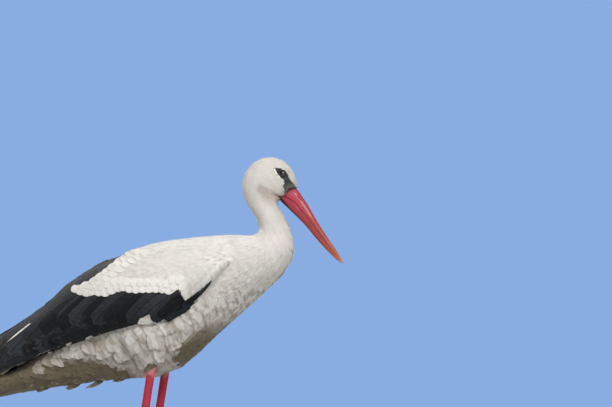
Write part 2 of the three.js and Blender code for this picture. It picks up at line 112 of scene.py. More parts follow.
def addNode(tree, kind, *inputs, **settings):
    # "Math ADD" is a ShaderNodeMath set to ADD; inputs come in turn, or by name in one dictionary
    kind, _, choice = kind.partition(" ")
    node = tree.nodes.new(kind if "Node" in kind else f"ShaderNode{kind}")
    if choice:
        settings[choices[kind]] = choice
    for name, value in settings.items():
        setattr(node, name, value)
    if inputs and isinstance(inputs[-1], dict):
        *inputs, named = inputs
        for name, source in named.items():
            feed(tree, node.inputs[name], source)
    for socket, source in zip([socket for socket in node.inputs if socket.enabled], inputs):
        feed(tree, socket, source)
    return node


def newMaterial(name, looks):
    # the looks are what the shader's own sockets are set to
    material = bpy.data.materials.new(name)
    material.use_nodes = True
    shader = material.node_tree.nodes["Principled BSDF"]
    for socket, value in looks.items():
        shader.inputs[socket].default_value = value
    return material, partial(addNode, material.node_tree)


def paint(material, colour, relief=None, strength=0.0, depth=0.0):
    # gives the shader its colour and its relief; the relief's depth is in metres
    tree = material.node_tree
    shader = tree.nodes["Principled BSDF"]
    feed(tree, shader.inputs["Base Color"], colour)
    if relief:
        bump = addNode(tree, "Bump", {"Strength": strength, "Distance": depth, "Height": relief})
        feed(tree, shader.inputs["Normal"], bump)


def linked(name, mesh):
    piece = bpy.data.objects.new(name, mesh)
    scene.collection.objects.link(piece)
    return piece


def meshObject(name, verts, faces, material=None, smooth=True):
    mesh = bpy.data.meshes.new(name)
    mesh.from_pydata([tuple(v) for v in verts], [], [tuple(f) for f in faces])
    mesh.update()
    mesh.polygons.foreach_set("use_smooth", [smooth] * len(mesh.polygons))
    if material:
        mesh.materials.append(material)
    return linked(name, mesh)


def setAttribute(mesh, name, values, kind="FLOAT", domain="POINT"):
    layer = mesh.attributes.new(name, kind, domain)
    key = "vector" if kind == "FLOAT_VECTOR" else "value"
    layer.data.foreach_set(key, np.asarray(values, bool if kind == "BOOLEAN" else np.float32).ravel())


def readAll(data, key, width, kind=float):
    found = np.empty(len(data) * width, kind)
    data.foreach_get(key, found)
    return found.reshape(-1, width) if width > 1 else found


def placesOf(mesh):
    return readAll(mesh.vertices, "co", 3)


def normalsOf(mesh):
    return readAll(mesh.vertex_normals, "vector", 3, np.float32).astype(float)


def edgesOf(mesh):
    return readAll(mesh.edges, "vertices", 2, np.int32)


def setPlaces(mesh, places):
    mesh.vertices.foreach_set("co", places.ravel())
    mesh.update()


def runOf(corners):
    # how far along an open line each of its points lies
    steps = np.linalg.norm(np.diff(np.array(corners, float), axis=0), axis=1)
    return np.concatenate([[0], np.cumsum(steps)])


def polygonDistance(points, corners):
    # distance to a closed outline, negative inside
    points = np.asarray(points, float)
    corners = np.asarray(corners, float)
    best = np.full(len(points), 1e9)
    inside = np.zeros(len(points), bool)
    for a, b in zip(corners, np.roll(corners, -1, axis=0)):
        along = b - a
        share = np.clip(((points - a) @ along) / (along @ along), 0, 1)
        best = np.minimum(best, np.linalg.norm(points - a - share[:, None] * along, axis=1))
        crosses = (a[1] > points[:, 1]) != (b[1] > points[:, 1])
        level = along[1] if abs(along[1]) > 1e-9 else 1e-9
        inside ^= crosses & (points[:, 0] < along[0] * (points[:, 1] - a[1]) / level + a[0])
    return np.where(inside, -best, best)


def lineDistance(points, corners):
    # distance to an open line and how far along it, 0 to 1, the nearest place is
    corners = np.asarray(corners, float)
    starts = runOf(corners)
    best, where = np.full(len(points), 1e9), np.zeros(len(points))
    for i, (a, b) in enumerate(zip(corners, corners[1:])):
        along = b - a
        share = np.clip(((points - a) @ along) / (along @ along), 0, 1)
        reach = np.linalg.norm(points - a - share[:, None] * along, axis=1)
        closer = reach < best
        best = np.where(closer, reach, best)
        where = np.where(closer, (starts[i] + share * (starts[i + 1] - starts[i])) / starts[-1], where)
    return best, where


# Camera, light and floor

view = {
    "frameMiddle": (301.6, -40, 651.4),  # what the middle of the frame looks at, frame millimetres
    "frameWidth": 1163,  # millimetres across the frame there
    "distance": 5600,
    "lookUp": 5.3,  # degrees
}
tilt = math.radians(view["lookUp"])
camera = linked("camera", bpy.data.cameras.new("camera"))
camera.data.sensor_width = 36
camera.data.lens = 36 * view["distance"] / view["frameWidth"]
camera.data.clip_end = 60
middle = Vector(view["frameMiddle"]) / 1000
camera.location = middle + view["distance"] / 1000 * Vector((0, -math.cos(tilt), -math.sin(tilt)))
camera.rotation_euler = (math.pi / 2 + tilt, 0, 0)
scene.camera = camera

# a pale blue backdrop for the eye, and a soft white room that lights more from above than from below
backdrop = {"colour": "#8AADE1", "above": 0.45, "below": 0.035}
world = bpy.data.worlds.new("studio")
world.use_nodes = True
put = partial(addNode, world.node_tree)
height = put("SeparateXYZ", put("TexCoord").outputs["Generated"]).outputs[2]
room = put("MapRange", height, -0.3, 0.7, backdrop["below"], backdrop["above"])
seen = put("LightPath").outputs["Is Camera Ray"]
sockets = world.node_tree.nodes["Background"].inputs
feed(world.node_tree, sockets["Color"], put("Mix RGBA", seen, "#FFFBF6", backdrop["colour"]))
feed(world.node_tree, sockets["Strength"], put("Mix FLOAT", seen, room, 1.0))
scene.world = world

lamps = {
    "overhead": {"at": (0.2, -2.5, 2.9), "size": 2.0, "power": 106, "colour": "#FFFCF8"},
    "front": {"at": (2.6, -2.4, 2.2), "size": 2.0, "power": 36, "colour": "#FFFCF8"},
    "behind": {"at": (-1.4, 2.2, 2.8), "size": 2.0, "power": 34, "colour": "#FBFBFF"},
}
for name, lamp in lamps.items():
    light = bpy.data.lights.new(name, "AREA")
    light.shape = "DISK"
    light.size = lamp["size"]
    light.energy = lamp["power"]
    light.color = linear(lamp["colour"])[:3]
    holder = linked(name, light)
    holder.location = lamp["at"]
    holder.rotation_euler = (Vector((0, 0, 0.5)) - holder.location).to_track_quat("-Z", "Y").to_euler()

# pale studio floor, painted plaster: even and matt with a faint cloudiness
floorPaint, put = newMaterial("floorPaint", {"Roughness": 0.8})
paint(floorPaint, put("Mix RGBA", put("TexNoise", {"Scale": 3.0, "Detail": 4.0}), "#BFC0BF", "#CBCCCA"))
corners = [(-6, -6, 0), (6, -6, 0), (6, 6, 0), (-6, 6, 0)]
floor = meshObject("floor", corners, [(0, 1, 2, 3)], floorPaint, False)
print("stage: camera, light and floor")


# Body form: every fleshy part of the bird in one skin

skinLook = {
    "voxel": 3.8,  # grid of the first skin, mm
    "closeGaps": 0.5,  # how far the parts grow so that they run together, mm
    "bodyRounds": 110,  # smoothing of the body and neck
    "headRounds": 24,
    "legRounds": 6,
    "splitFrom": 1.35,  # an edge longer than this times the wanted length is split
    "billCut": ((275, 641), (0.57, -0.82)),  # where the skin ends in the bill: (x, z) and the way ahead
    "bareLegTop": 351,  # bare leg below this height
    "plainBelow": 330,  # lower down the coat has no depth, and all but dark feathers is smoothed little
    "most": 0.3,  # the coat takes up to this share of what lies under it
}
legNames = [f"{part}_{side}" for side in sides
            for part in ("shank", "tarsus", "foot", "toe_middle", "toe_outer", "toe_inner", "toe_hind")]
darkNames = [f"wing_{part}_{side}" for side in sides
             for part in ("secondaries", "tertials", "primaries", "alula")]
whiteNames = ["head", "neck_upper", "neck_lower", "trunk", "tail",
              *(f"{part}_{side}" for part in ("wing_coverts", "thigh") for side in sides)]
fleshNames = legNames + darkNames + whiteNames
hornNames = ["bill_upper", "bill_lower", "eye_right", "eye_left"]  # the skin runs on under these
zones = ["head", "neck", "trunk", "tail", "coverts", "dark", "thigh", "leg"]


def zoneOf(name):
    kind = "leg" if name in legNames else "dark" if name in darkNames else name
    return next(i for i, zone in enumerate(zones) if zone in kind)


def isZone(zone, *names):
    return np.isin(zone, [zones.index(name) for name in names])


def mergedCopy(names, grow):
    whole = bmesh.new()
    for name in names:
        part = bmesh.new()
        part.from_mesh(frame["nodes"][name].data)
        bmesh.ops.remove_doubles(part, verts=part.verts, dist=1e-5)
        part.normal_update()
        for vert in part.verts:
            vert.co += vert.normal * grow / 1000
        holder = bpy.data.meshes.new("part")
        part.to_mesh(holder)
        part.free()
        whole.from_mesh(holder)
        bpy.data.meshes.remove(holder)
    mesh = bpy.data.meshes.new("merged")
    whole.to_mesh(mesh)
    whole.free()
    return mesh


def plainMesh(piece):
    # the piece with its modifiers worked in
    return bpy.data.meshes.new_from_object(piece.evaluated_get(bpy.context.evaluated_depsgraph_get()))


def cutAway(mesh, lost):
    # the mesh without some vertices, with the hole closed
    bm = bmesh.new()
    bm.from_mesh(mesh)
    bm.verts.ensure_lookup_table()
    bmesh.ops.delete(bm, geom=[bm.verts[i] for i in np.flatnonzero(lost)], context="VERTS")
    bmesh.ops.holes_fill(bm, edges=[edge for edge in bm.edges if edge.is_boundary], sides=0)
    bmesh.ops.triangulate(bm, faces=[face for face in bm.faces if len(face.verts) > 4])
    bm.to_mesh(mesh)
    bm.free()


def largestShell(mesh):
    edges = edgesOf(mesh)
    label = np.arange(len(mesh.vertices))
    while True:
        low = np.minimum(label[edges[:, 0]], label[edges[:, 1]])
        found = label.copy()
        np.minimum.at(found, edges[:, 0], low)
        np.minimum.at(found, edges[:, 1], low)
        found = found[found]
        if (found == label).all():
            break
        label = found
    cutAway(mesh, label != np.argmax(np.bincount(label)))


def neighbourMean(values, edges):
    # what the neighbours of each vertex have on average, column by column
    first, second = edges.T
    count = len(values)
    degree = np.maximum(np.bincount(edges.ravel(), minlength=count), 1)[:, None]
    total = [np.bincount(first, column[second], count) + np.bincount(second, column[first], count)
             for column in values.T]
    return np.stack(total, 1) / degree


def smoothed(places, edges, rounds, share, swell=0.53):
    # even smoothing that keeps the size: each round pulls in and then pushes out again
    share = np.broadcast_to(share, len(places))[:, None]
    for step in (0.5, -swell) * rounds:
        places = places + step * share * (neighbourMean(places, edges) - places)
    return places


def spread(values, edges, rounds):
    # a number of each vertex, evened out along the mesh
    values = values[:, None]
    for _ in range(rounds):
        values = 0.5 * values + 0.5 * neighbourMean(values, edges)
    return values[:, 0]


def searchTree(mesh):
    mesh.calc_loop_triangles()
    tris = readAll(mesh.loop_triangles, "vertices", 3, np.int32)
    return BVHTree.FromPolygons([tuple(v) for v in placesOf(mesh)], tris.tolist(), all_triangles=True)


def nearestZones(points):
    # which kind of part each place is nearest to
    verts, faces, kinds = [], [], []
    for name in fleshNames:
        mesh = frame["nodes"][name].data
        mesh.calc_loop_triangles()
        tris = readAll(mesh.loop_triangles, "vertices", 3, np.int32) + len(verts)
        verts += [tuple(v) for v in placesOf(mesh)]
        faces += tris.tolist()
        kinds += [zoneOf(name)] * len(tris)
    searcher = BVHTree.FromPolygons(verts, faces, all_triangles=True)
    return np.array(kinds)[[searcher.find_nearest(point)[2] for point in points]]


form = linked("form", mergedCopy(fleshNames + hornNames, skinLook["closeGaps"]))
grid = form.modifiers.new("grid", "REMESH")
grid.mode = "VOXEL"
grid.voxel_size = skinLook["voxel"] / 1000
formMesh = plainMesh(form)
bpy.data.objects.remove(form)
largestShell(formMesh)
flat = toMillimetres(placesOf(formMesh))
cutPlace, cutWay = skinLook["billCut"]
beyond = (flat[:, [0, 2]] - cutPlace) @ np.array(cutWay) > 0
cutAway(formMesh, beyond & (flat[:, 0] > 258) & (flat[:, 2] > 520))
places = placesOf(formMesh)
zone = nearestZones(places)
height = toMillimetres(places)[:, 2]
isLow = isZone(zone, "leg") | (height < skinLook["plainBelow"])
share = np.select([height > 650, isZone(zone, "dark"), isLow], [0.5, 0.8, 0.12], 1.0)
setPlaces(formMesh, smoothed(places, edgesOf(formMesh), skinLook["bodyRounds"], share))
formTree = searchTree(formMesh)
print("stage: body form,", len(formMesh.polygons), "faces")

# Skin: the form drawn in by the depth of the coat, with the face worked out on a finer mesh

face = {
    "bare": [(218, 721), (231.8, 719.7), (240.2, 713.8), (245.3, 705.3), (248.7, 696.7), (257.3, 685.7),
             (260, 679), (243, 680), (238.8, 670.5), (236.0, 672.0), (237.4, 678.5), (233.4, 686.5),
             (237, 691), (235.2, 697.7), (228.4, 703.6), (222.3, 712.1)],
    "bill": [(266, 687), (243, 681.3), (239.5, 672), (233.5, 667), (226, 661), (228, 655), (240, 644),
             (252, 631), (274, 608), (350, 527), (400, 527), (400, 687)],
    "gape": [(196, 687), (207, 677), (215, 672), (221.5, 670), (226.7, 667), (234, 666)],
    "gapeDepth": 1.3,
    "gapeWidth": 1.5,
    "opening": 6.3,  # radius of the eye's opening
    "lidRise": 0.75,  # how far the rim of the lids stands over the eyeball
    "lidReach": 13.5,  # the lids run out into the face at this radius
}

# the black of the folded wing in side view: its upper edge forward from the ridge, then its lower edge back
wingUnderEdge = [(57, 448), (0, 422), (-60, 415), (-110, 405), (-160, 390), (-210, 371), (-256, 348),
                 (-304, 327)]
blackWing = [(-45, 574), (-51, 560), (-70, 549), (-93, 532), (-112, 516), (-129, 503), (-145, 490),
             (-150, 478), (-127, 477), (-98, 476), (-77, 482), (-28, 480), (15, 478), (26, 486),
             (33, 497), (42, 479), (52, 463), (87, 491), (96, 499), (100, 496), (93, 484),
             *wingUnderEdge, (-405, 265), (-450, 300), (-430, 360), (-280, 460), (-170, 530),
             (-100, 575), (-45, 592)]

# clean white band under the folded wing, where the belly's stain and painted shade are taken away; below it
# the belly is soiled and carries painted shade
cleanLitFlank = [(80, 470), (0, 424), (-110, 404), (-210, 370), (-304, 326), (-300, 312), (-262, 318),
              (-222, 334), (-190, 352), (-150, 364), (-118, 362), (-81, 356), (-48, 346), (-30, 328),
              (12, 326), (36, 324), (56, 342), (52, 360), (40, 372), (60, 400), (120, 450)]


# how fine the skin is in each part, mm
edgeLengths = {"feet": 1.5, "legs": 2.3, "eye": 0.62, "lids": 0.95, "gape": 0.8, "bare": 1.1,
               "billEdge": 1.3, "head": 2.4, "rest": 5.7}


def wantedLength(places):
    # edge length that the skin has at each place, mm
    x, y, z = places.T
    side = places[:, [0, 2]]
    reach = np.hypot(x - eye["x"], z - eye["z"])
    gape, _ = lineDistance(side, face["gape"])
    head = (z > 640) & (x > 150)
    byEye = head & (np.abs(y) > 12)
    where = {
        "feet": z < 32,
        "legs": z < 345,
        "eye": byEye & (reach < 8.5),
        "lids": byEye & (reach < 15),
        "gape": head & (gape < 3.5),
        "bare": head & (polygonDistance(side, face["bare"]) < 2),
        "billEdge": head & (np.abs(polygonDistance(side, face["bill"])) < 5) & (x < 268),
        "head": head & (x > 190),
    }
    return np.select([*where.values()], [edgeLengths[part] for part in where], edgeLengths["rest"])


def refined(mesh, rounds):
    bm = bmesh.new()
    bm.from_mesh(mesh)
    for _ in range(rounds):
        bm.edges.index_update()
        ends = np.array([(*a.co, *b.co) for a, b in (edge.verts for edge in bm.edges)])
        long = np.linalg.norm(ends[:, 3:] - ends[:, :3], axis=1) * 1000
        wanted = wantedLength(toMillimetres((ends[:, 3:] + ends[:, :3]) / 2))
        bm.edges.ensure_lookup_table()
        split = [bm.edges[i] for i in np.flatnonzero(long > wanted * skinLook["splitFrom"])]
        bmesh.ops.subdivide_edges(bm, edges=split, cuts=1, use_grid_fill=True)
        bmesh.ops.triangulate(bm, faces=[one for one in bm.faces if len(one.verts) > 4])
    bm.to_mesh(mesh)
    bm.free()


def eyeSocket(flat):
    # lids round both eyes: the skin dips under the ball, turns over at the rim and runs out into the face
    opening, radius = face["opening"], eye["radius"]
    terms = lambda o: np.stack([np.ones(len(o)), *o.T, o[:, 0] ** 2, o[:, 0] * o[:, 1], o[:, 1] ** 2], 1)
    ridge = lambda out, middle, wide: np.exp(-(((out - middle) / wide) ** 2))
    for sign in sides.values():
        offset = flat[:, [0, 2]] - (eye["x"], eye["z"])
        reach = np.hypot(*offset.T)
        aside = flat[:, 1] * sign
        near = (reach < 22) & (aside > 10)
        ring = near & (reach > 14.5)
        fit, *_ = np.linalg.lstsq(terms(offset[ring]), aside[ring], rcond=None)
        cheek = terms(offset) @ fit
        snapped = near & (np.abs(reach - opening) < 0.36)
        rim = offset[snapped] / reach[snapped, None] * opening
        flat[snapped] = np.stack([eye["x"] + rim[:, 0], flat[snapped, 1], eye["z"] + rim[:, 1]], 1)
        reach = np.where(snapped, opening, reach)
        under = eye["aside"] + np.sqrt(np.maximum((radius - 1.1) ** 2 - reach**2, 0.0))
        out = reach - opening
        lid = eye["aside"] + math.sqrt(radius**2 - opening**2) + face["lidRise"] * ridge(out, 0.75, 0.85)
        lid += 0.25 * ridge(out, 4.6, 0.9) - 0.55 * ridge(out, 2.9, 0.9)
        share = smoothStep(1.0, face["lidReach"] - opening, out)
        level = np.where(reach < opening - 0.1, under, lid * (1 - share) + cheek * share)
        share = smoothStep(face["lidReach"] - 1, face["lidReach"] + 2, reach)
        flat[near, 1] = sign * (level * (1 - share) + aside * share)[near]
    return flat


legTop = skinLook["bareLegTop"]
skinMesh = formMesh.copy()
refined(skinMesh, 3)
places = placesOf(skinMesh)
edges = edgesOf(skinMesh)
flat = toMillimetres(places)
zone = nearestZones(places)
isLeg = isZone(zone, "leg", "thigh") & (flat[:, 2] < legTop)
zone = np.where(isLeg, zones.index("leg"), zone)
wing = isZone(zone, "coverts", "dark")
black = polygonDistance(flat[:, [0, 2]], blackWing) < 0
overRump = isZone(zone, "trunk") & (flat[:, 2] > 490 + 0.554 * flat[:, 0])
zone = np.where(wing, zones.index("coverts"), zone)
zone = np.where(black & (wing | overRump), zones.index("dark"), zone)
isHead = (flat[:, 2] > 645) & (flat[:, 0] > 185)
places = smoothed(places, edges, skinLook["headRounds"], isHead * 1.0)
bones = searchTree(mergedCopy(legNames, 0))
for i in np.flatnonzero(isLeg):
    spot = np.array(bones.find_nearest(places[i])[0])
    places[i] += (spot - places[i]) * smoothStep(legTop, legTop - 8, flat[i, 2])
places = smoothed(places, edges, skinLook["legRounds"], isLeg * 0.7)
print("stage: fine skin,", len(skinMesh.polygons), "faces")

flat = eyeSocket(toMillimetres(places))
setPlaces(skinMesh, toMetres(flat))
normals = normalsOf(skinMesh)
side = flat[:, [0, 2]]
isHead = (flat[:, 2] > 600) & (flat[:, 0] > 150)
onFace = isHead & (np.abs(flat[:, 1]) > 6)
bareReach = np.where(onFace, polygonDistance(side, face["bare"]), 99)
billReach = np.where(isHead, polygonDistance(side, face["bill"]), 99)
gapeReach, gapeAlong = lineDistance(side, face["gape"])
gapeReach = np.where(onFace, gapeReach, 99)

# the skin draws in under the bill and along the gape, and by the depth of the coat
inner = smoothStep(0.4, -3.2, billReach) * 7.5
fold = np.exp(-((gapeReach / face["gapeWidth"]) ** 2)) * smoothStep(0, 0.25, gapeAlong) * (billReach > 0)
puff = np.exp(-(((gapeReach - 3.4) / 1.6) ** 2)) * smoothStep(0, 0.3, gapeAlong) * (billReach > 0)
depthOf = {"head": 1.4, "neck": 2.4, "trunk": 4.0, "tail": 3.6, "coverts": 3.2, "dark": 2.2, "thigh": 3.4,
           "leg": 0.0}
coatDepth = np.array([depthOf[name] for name in zones])[zone]
coatDepth *= np.where(isZone(zone, "head"), smoothStep(0, 6, np.minimum(bareReach, billReach)), 1)
coatDepth = np.where(isLeg | (flat[:, 2] < skinLook["plainBelow"]), 0, coatDepth)
coatDepth = np.where(bareReach < 0, 0, spread(coatDepth, edges, 14))
skinTree = searchTree(skinMesh)
thick = np.full(len(flat), 60.0)
places = toMetres(flat)
for i in np.flatnonzero(coatDepth > 0.05):
    inwards = Vector(-normals[i])
    hit = skinTree.ray_cast(Vector(places[i]) + inwards * 2e-4, inwards, 0.06)
    if hit[0] is not None:
        thick[i] = hit[3] * 1000
coatDepth = spread(np.minimum(coatDepth, skinLook["most"] * thick), edges, 4)
sink = coatDepth + np.where(np.abs(flat[:, 1]) < 90, inner, 0) + face["gapeDepth"] * fold - 0.5 * puff
flat = flat - normals * sink[:, None]
setPlaces(skinMesh, toMetres(flat))
skinMesh.polygons.foreach_set("use_smooth", [True] * len(skinMesh.polygons))
atBill = np.maximum(np.minimum(billReach, bareReach), 0)
markings = {
    "bareReach": bareReach,
    "gapeReach": gapeReach + 20 * (1 - smoothStep(0, 0.12, gapeAlong)),
    "legShare": isLeg,
    "billReach": billReach,
    "coatDepth": coatDepth,
    "dark": isZone(zone, "dark"),
    "soot": 0.75 * np.exp(-atBill / 2.2)
            + 0.7 * np.exp(-((gapeReach / 3.0) ** 2)) * smoothStep(0.05, 0.5, gapeAlong),
    "clean": 0.66 * smoothStep(4, -4, polygonDistance(side, cleanLitFlank)) * smoothStep(-240, -60, flat[:, 0]),
    # soiled round the gape and the bill's base, with painted shade in the gape's fold
    "soil": 1.2 * np.exp(-((gapeReach / 7) ** 2)) + 0.5 * np.exp(-((billReach / 9) ** 2)),
}
for name, values in markings.items():
    setAttribute(skinMesh, name, values)
skin = linked("skin", skinMesh)
print("stage: skin")

# The lie of the coat: at a place (x, z) in side view its way (x, z), a feather's length, width and lift

lieGuides = {
    "forehead": (258, 695, -0.5, 0.85, 4.2, 1.2, 0.2),
    "brow": (247, 724, -0.9, 0.45, 5.5, 1.4, 0.2),
    "crown": (222, 741, -1.0, 0.1, 8.5, 1.8, 0.3),
    "hindCrown": (180, 732, -0.8, -0.6, 11, 2.0, 0.3),
    "nape": (156, 690, -0.05, -1.0, 15, 2.1, 0.4),
    "cheek": (232, 692, -0.85, -0.5, 4.6, 1.2, 0.2),
    "gapeSide": (236, 674, -0.85, -0.4, 4.0, 1.1, 0.2),
    "ear": (202, 702, -0.7, -0.7, 9.0, 1.7, 0.3),
    "chin": (226, 655, -0.4, -0.9, 6, 1.4, 0.3),
    "throat": (233, 640, 0.1, -1.0, 11, 1.8, 0.4),
    "midNeck": (203, 655, 0.12, -1.0, 17, 2.2, 0.4),
    "neckFront": (244, 612, 0.2, -0.97, 18, 2.5, 0.3),
    "neckBack": (186, 615, 0.1, -1.0, 18, 2.6, 0.4),
    "neckRoot": (168, 596, -0.85, -0.45, 22, 8, 0.5),
    "lowNeck": (215, 585, -0.15, -1.0, 20, 3.2, 0.7),
    "breastTop": (252, 560, -0.2, -1.0, 24, 3.9, 1.0),
    "breast": (238, 530, -0.5, -0.87, 29, 5.2, 1.6),
    "lowBreast": (190, 478, -0.68, -0.73, 35, 6.5, 1.8),
    "breastSide": (165, 530, -0.82, -0.57, 30, 7.5, 1.4),
    "foreBelly": (140, 450, -0.72, -0.7, 34, 8.5, 1.6),
    "belly": (90, 392, -0.78, -0.62, 32, 11, 1.6),
    "shoulder": (120, 580, -0.95, -0.3, 24, 12, 0.2),
    "back": (40, 590, -1.0, -0.1, 28, 15, 0.2),
    "hindBack": (-90, 545, -0.9, -0.42, 32, 16, 0.2),
    "rump": (-170, 450, -0.72, -0.7, 34, 15, 0.8),
    "flank": (-20, 385, -0.85, -0.52, 30, 12, 1.8),
    "hindFlank": (-110, 355, -0.93, -0.36, 34, 13, 2.0),
    "vent": (-110, 322, -0.98, -0.18, 38, 14, 2.0),
    "tailCoverts": (-230, 320, -0.97, -0.22, 44, 16, 1.8),
    "tailEnd": (-340, 285, -0.98, -0.2, 48, 17, 1.0),
    "thigh": (-10, 415, -0.3, -0.95, 24, 9, 1.4),
    "thighEnd": (-12, 352, -0.1, -1.0, 15, 4.0, 1.0),
}
wingGuides = {
    "wrist": (128, 540, -0.72, -0.7, 12, 7, 0.15),
    "hand": (92, 515, -0.62, -0.78, 20, 11, 0.15),
    "shoulderCoverts": (85, 565, -0.93, -0.36, 22, 13, 0.15),
    "foreCoverts": (45, 500, -0.66, -0.75, 27, 15, 0.15),
    "midCoverts": (-10, 530, -0.92, -0.4, 30, 17, 0.15),
    "greatCoverts": (-20, 492, -0.86, -0.51, 32, 18, 0.15),
    "hindCoverts": (-90, 525, -0.9, -0.44, 34, 19, 0.15),
    "scapularEnd": (-140, 490, -0.86, -0.51, 36, 20, 0.15),
}


def guided(side, guides, sharpness=2.6):
    rows = np.array(list(guides.values()), float)
    reach = np.hypot(side[:, 0, None] - rows[:, 0], side[:, 1, None] - rows[:, 1]) + 3
    weight = reach**-sharpness
    weight /= weight.sum(1, keepdims=True)
    return weight @ rows[:, 2:]


side = flat[:, [0, 2]]
onWing = spread(isZone(zone, "coverts", "dark") * 1.0, edges, 6)[:, None]
guide = guided(side, lieGuides) * (1 - onWing) + guided(side, wingGuides) * onWing
onThigh = spread(isZone(zone, "thigh") * 1.0, edges, 8)[:, None]
thighGuides = {name: lieGuides[name] for name in ("thigh", "thighEnd", "flank")}
guide = guide * (1 - onThigh) + guided(side, thighGuides) * onThigh
lie = np.stack([guide[:, 0], 0.06 * np.sign(flat[:, 1]), guide[:, 1]], 1)
normals = normalsOf(skinMesh)
lie = unit(lie - normals * (lie * normals).sum(1, keepdims=True))
sizes = guide[:, 2:]
setAttribute(skinMesh, "lie", lie, "FLOAT_VECTOR")
setAttribute(skinMesh, "vaneSize", sizes, "FLOAT_VECTOR")

# where feathers grow: not on legs, bare face or in the bill, and dark wing parts carry their own
length = sizes[:, 0]
isWing = onWing[:, 0] > 0.5
tips = side + lie[:, [0, 2]] * length[:, None] * 0.9  # a white feather's tip stays off the black
offBlack = polygonDistance(side, blackWing)
clear = smoothStep(3, 7, polygonDistance(tips, blackWing)) * smoothStep(-1, 1, offBlack)
mostly = ~isZone(zone, "leg", "dark") * smoothStep(0.6, 1.4, billReach)
mostly *= smoothStep(0.2, 0.9, bareReach) * smoothStep(2.7, 3.6, gapeReach)
mostly *= 1 - spread((flat[:, 2] < 300) * isZone(zone, "leg") * 1.0, edges, 1)
mostly *= np.where(isWing, clear * smoothStep(-225, -205, flat[:, 0]), 1.0)
tipHeight = flat[:, 2] + lie[:, 2] * length * 0.9
mostly *= np.where(onThigh[:, 0] > 0.4, smoothStep(legTop - 4, legTop, tipHeight), 1.0)
mostly *= smoothStep(-396, -378, tips[:, 0]) * smoothStep(-372, -360, flat[:, 0])
mostly *= 1 - (np.abs(flat[:, 1]) > 6) * (offBlack < 1) * ~isZone(zone, "coverts")
crowd = {
    "growFace": (length < 6.4) & ~isWing,
    "growHead": (length >= 6.4) & (length < 12.5) & ~isWing,
    "growNeck": (length >= 12.5) & (length < 20.5) & ~isWing,
    "growBreast": (length >= 20.5) & (sizes[:, 1] < 9.0) & ~isWing,
    "growBody": (length >= 20.5) & (sizes[:, 1] >= 9.0) & ~isWing,
    "growCoverts": isWing,
}
for name, where in crowd.items():
    setAttribute(skinMesh, name, np.clip(spread(where * 1.0, edges, 2), 0, 1) * mostly)


def vaneShape(look, rng):
    # a thin closed feather, one long and one wide, cambered, with its tip split into points
    stops, halves, tips = look["stops"], look["halves"], look["tips"]
    bend = rng.uniform(-0.1, 0.1)
    swayed = lambda along, across: across + bend * along**2
    left = [(s, -h) for s, h in zip(stops, halves)]
    right = [(s, h) for s, h in zip(stops, halves)]
    spreads = [(2 * j + 1) / tips - 1 for j in range(tips)]
    points = [(1 - look["round"] * s * s + rng.uniform(-0.02, 0.02), s * halves[-1] * 1.05)
              for s in spreads]
    fan = [points[0]]
    for before, after in zip(points, points[1:]):  # a notch between two points lies towards the shaft
        along, across = (before[0] + after[0]) / 2, (before[1] + after[1]) / 2
        deep = 1 - look["split"] * rng.uniform(0.6, 1.3) / (along - stops[-1])
        fan += [(stops[-1] + (along - stops[-1]) * deep, across * deep), after]
    outline = [(0.0, 0.0), *left, *fan, *right[::-1]]
    drop = lambda across: 0.5 - 4 * across**2
    verts = [(s, swayed(s, a), drop(a)) for s, a in outline]
    places = [(0.5 + a, s) for s, a in outline]
    rings = {}
    for level, name in ((0.5, "top"), (0.12, "under")):
        rings[name] = range(len(verts), len(verts) + len(stops))
        verts += [(s, swayed(s, 0), level) for s in stops]
        places += [(0.5, s) for s in stops]
    count, border = len(stops), len(outline)
    faces = []
    for name, mid in rings.items():
        sheet = [(0, mid[0], 1), (0, border - 1, mid[0])]
        for i in range(count - 1):
            last = border - 1 - i
            sheet += [(1 + i, mid[i], mid[i + 1], 2 + i), (mid[i], last, last - 1, mid[i + 1])]
        sheet += [(k, mid[-1], k + 1) for k in range(count, border - count)]
        faces += sheet if name == "under" else [corners[::-1] for corners in sheet]
    return verts, faces, places, border


vaneStyles = {
    "down": {"stops": (0.35, 0.72), "halves": (0.42, 0.46), "tips": 3, "round": 0.2, "split": 0.05},
    "hackle": {"stops": (0.28, 0.66), "halves": (0.34, 0.5), "tips": 3, "round": 0.3, "split": 0.05},
    "contour": {"stops": (0.2, 0.48, 0.76), "halves": (0.28, 0.5, 0.48), "tips": 5, "round": 0.2,
                "split": 0.03},
    "covert": {"stops": (0.2, 0.45, 0.7, 0.84), "halves": (0.28, 0.48, 0.5, 0.42), "tips": 6, "round": 0.16,
               "split": 0.02},
}


def vaneSet(style):
    # a few bent variants of one feather, kept apart from the scene
    group = bpy.data.collections.new(f"vanes_{style}")
    scene.collection.children.link(group)
    rng = np.random.default_rng(len(style))
    for i in range(5):
        verts, faces, places, border = vaneShape(vaneStyles[style], rng)
        mesh = bpy.data.meshes.new(f"vane_{style}_{i}")
        mesh.from_pydata(verts, [], faces)
        vanePlace = [(u, v, vert[2]) for (u, v), vert in zip(places, verts)]
        setAttribute(mesh, "vanePlace", vanePlace, "FLOAT_VECTOR")
        setAttribute(mesh, "sharp_edge", (edgesOf(mesh) < border).all(1), "BOOLEAN", "EDGE")
        group.objects.link(bpy.data.objects.new(mesh.name, mesh))
    return group


def lockSpace(put, place):
    # coordinates in which one step is 9 mm across the breast's streaks and 50 mm along them
    turned = put("VectorRotate", {"Vector": place, "Angle": math.radians(-56)}, rotation_type="Y_AXIS")
    return put("VectorMath MULTIPLY", turned, (20.0, 90.0, 110.0))


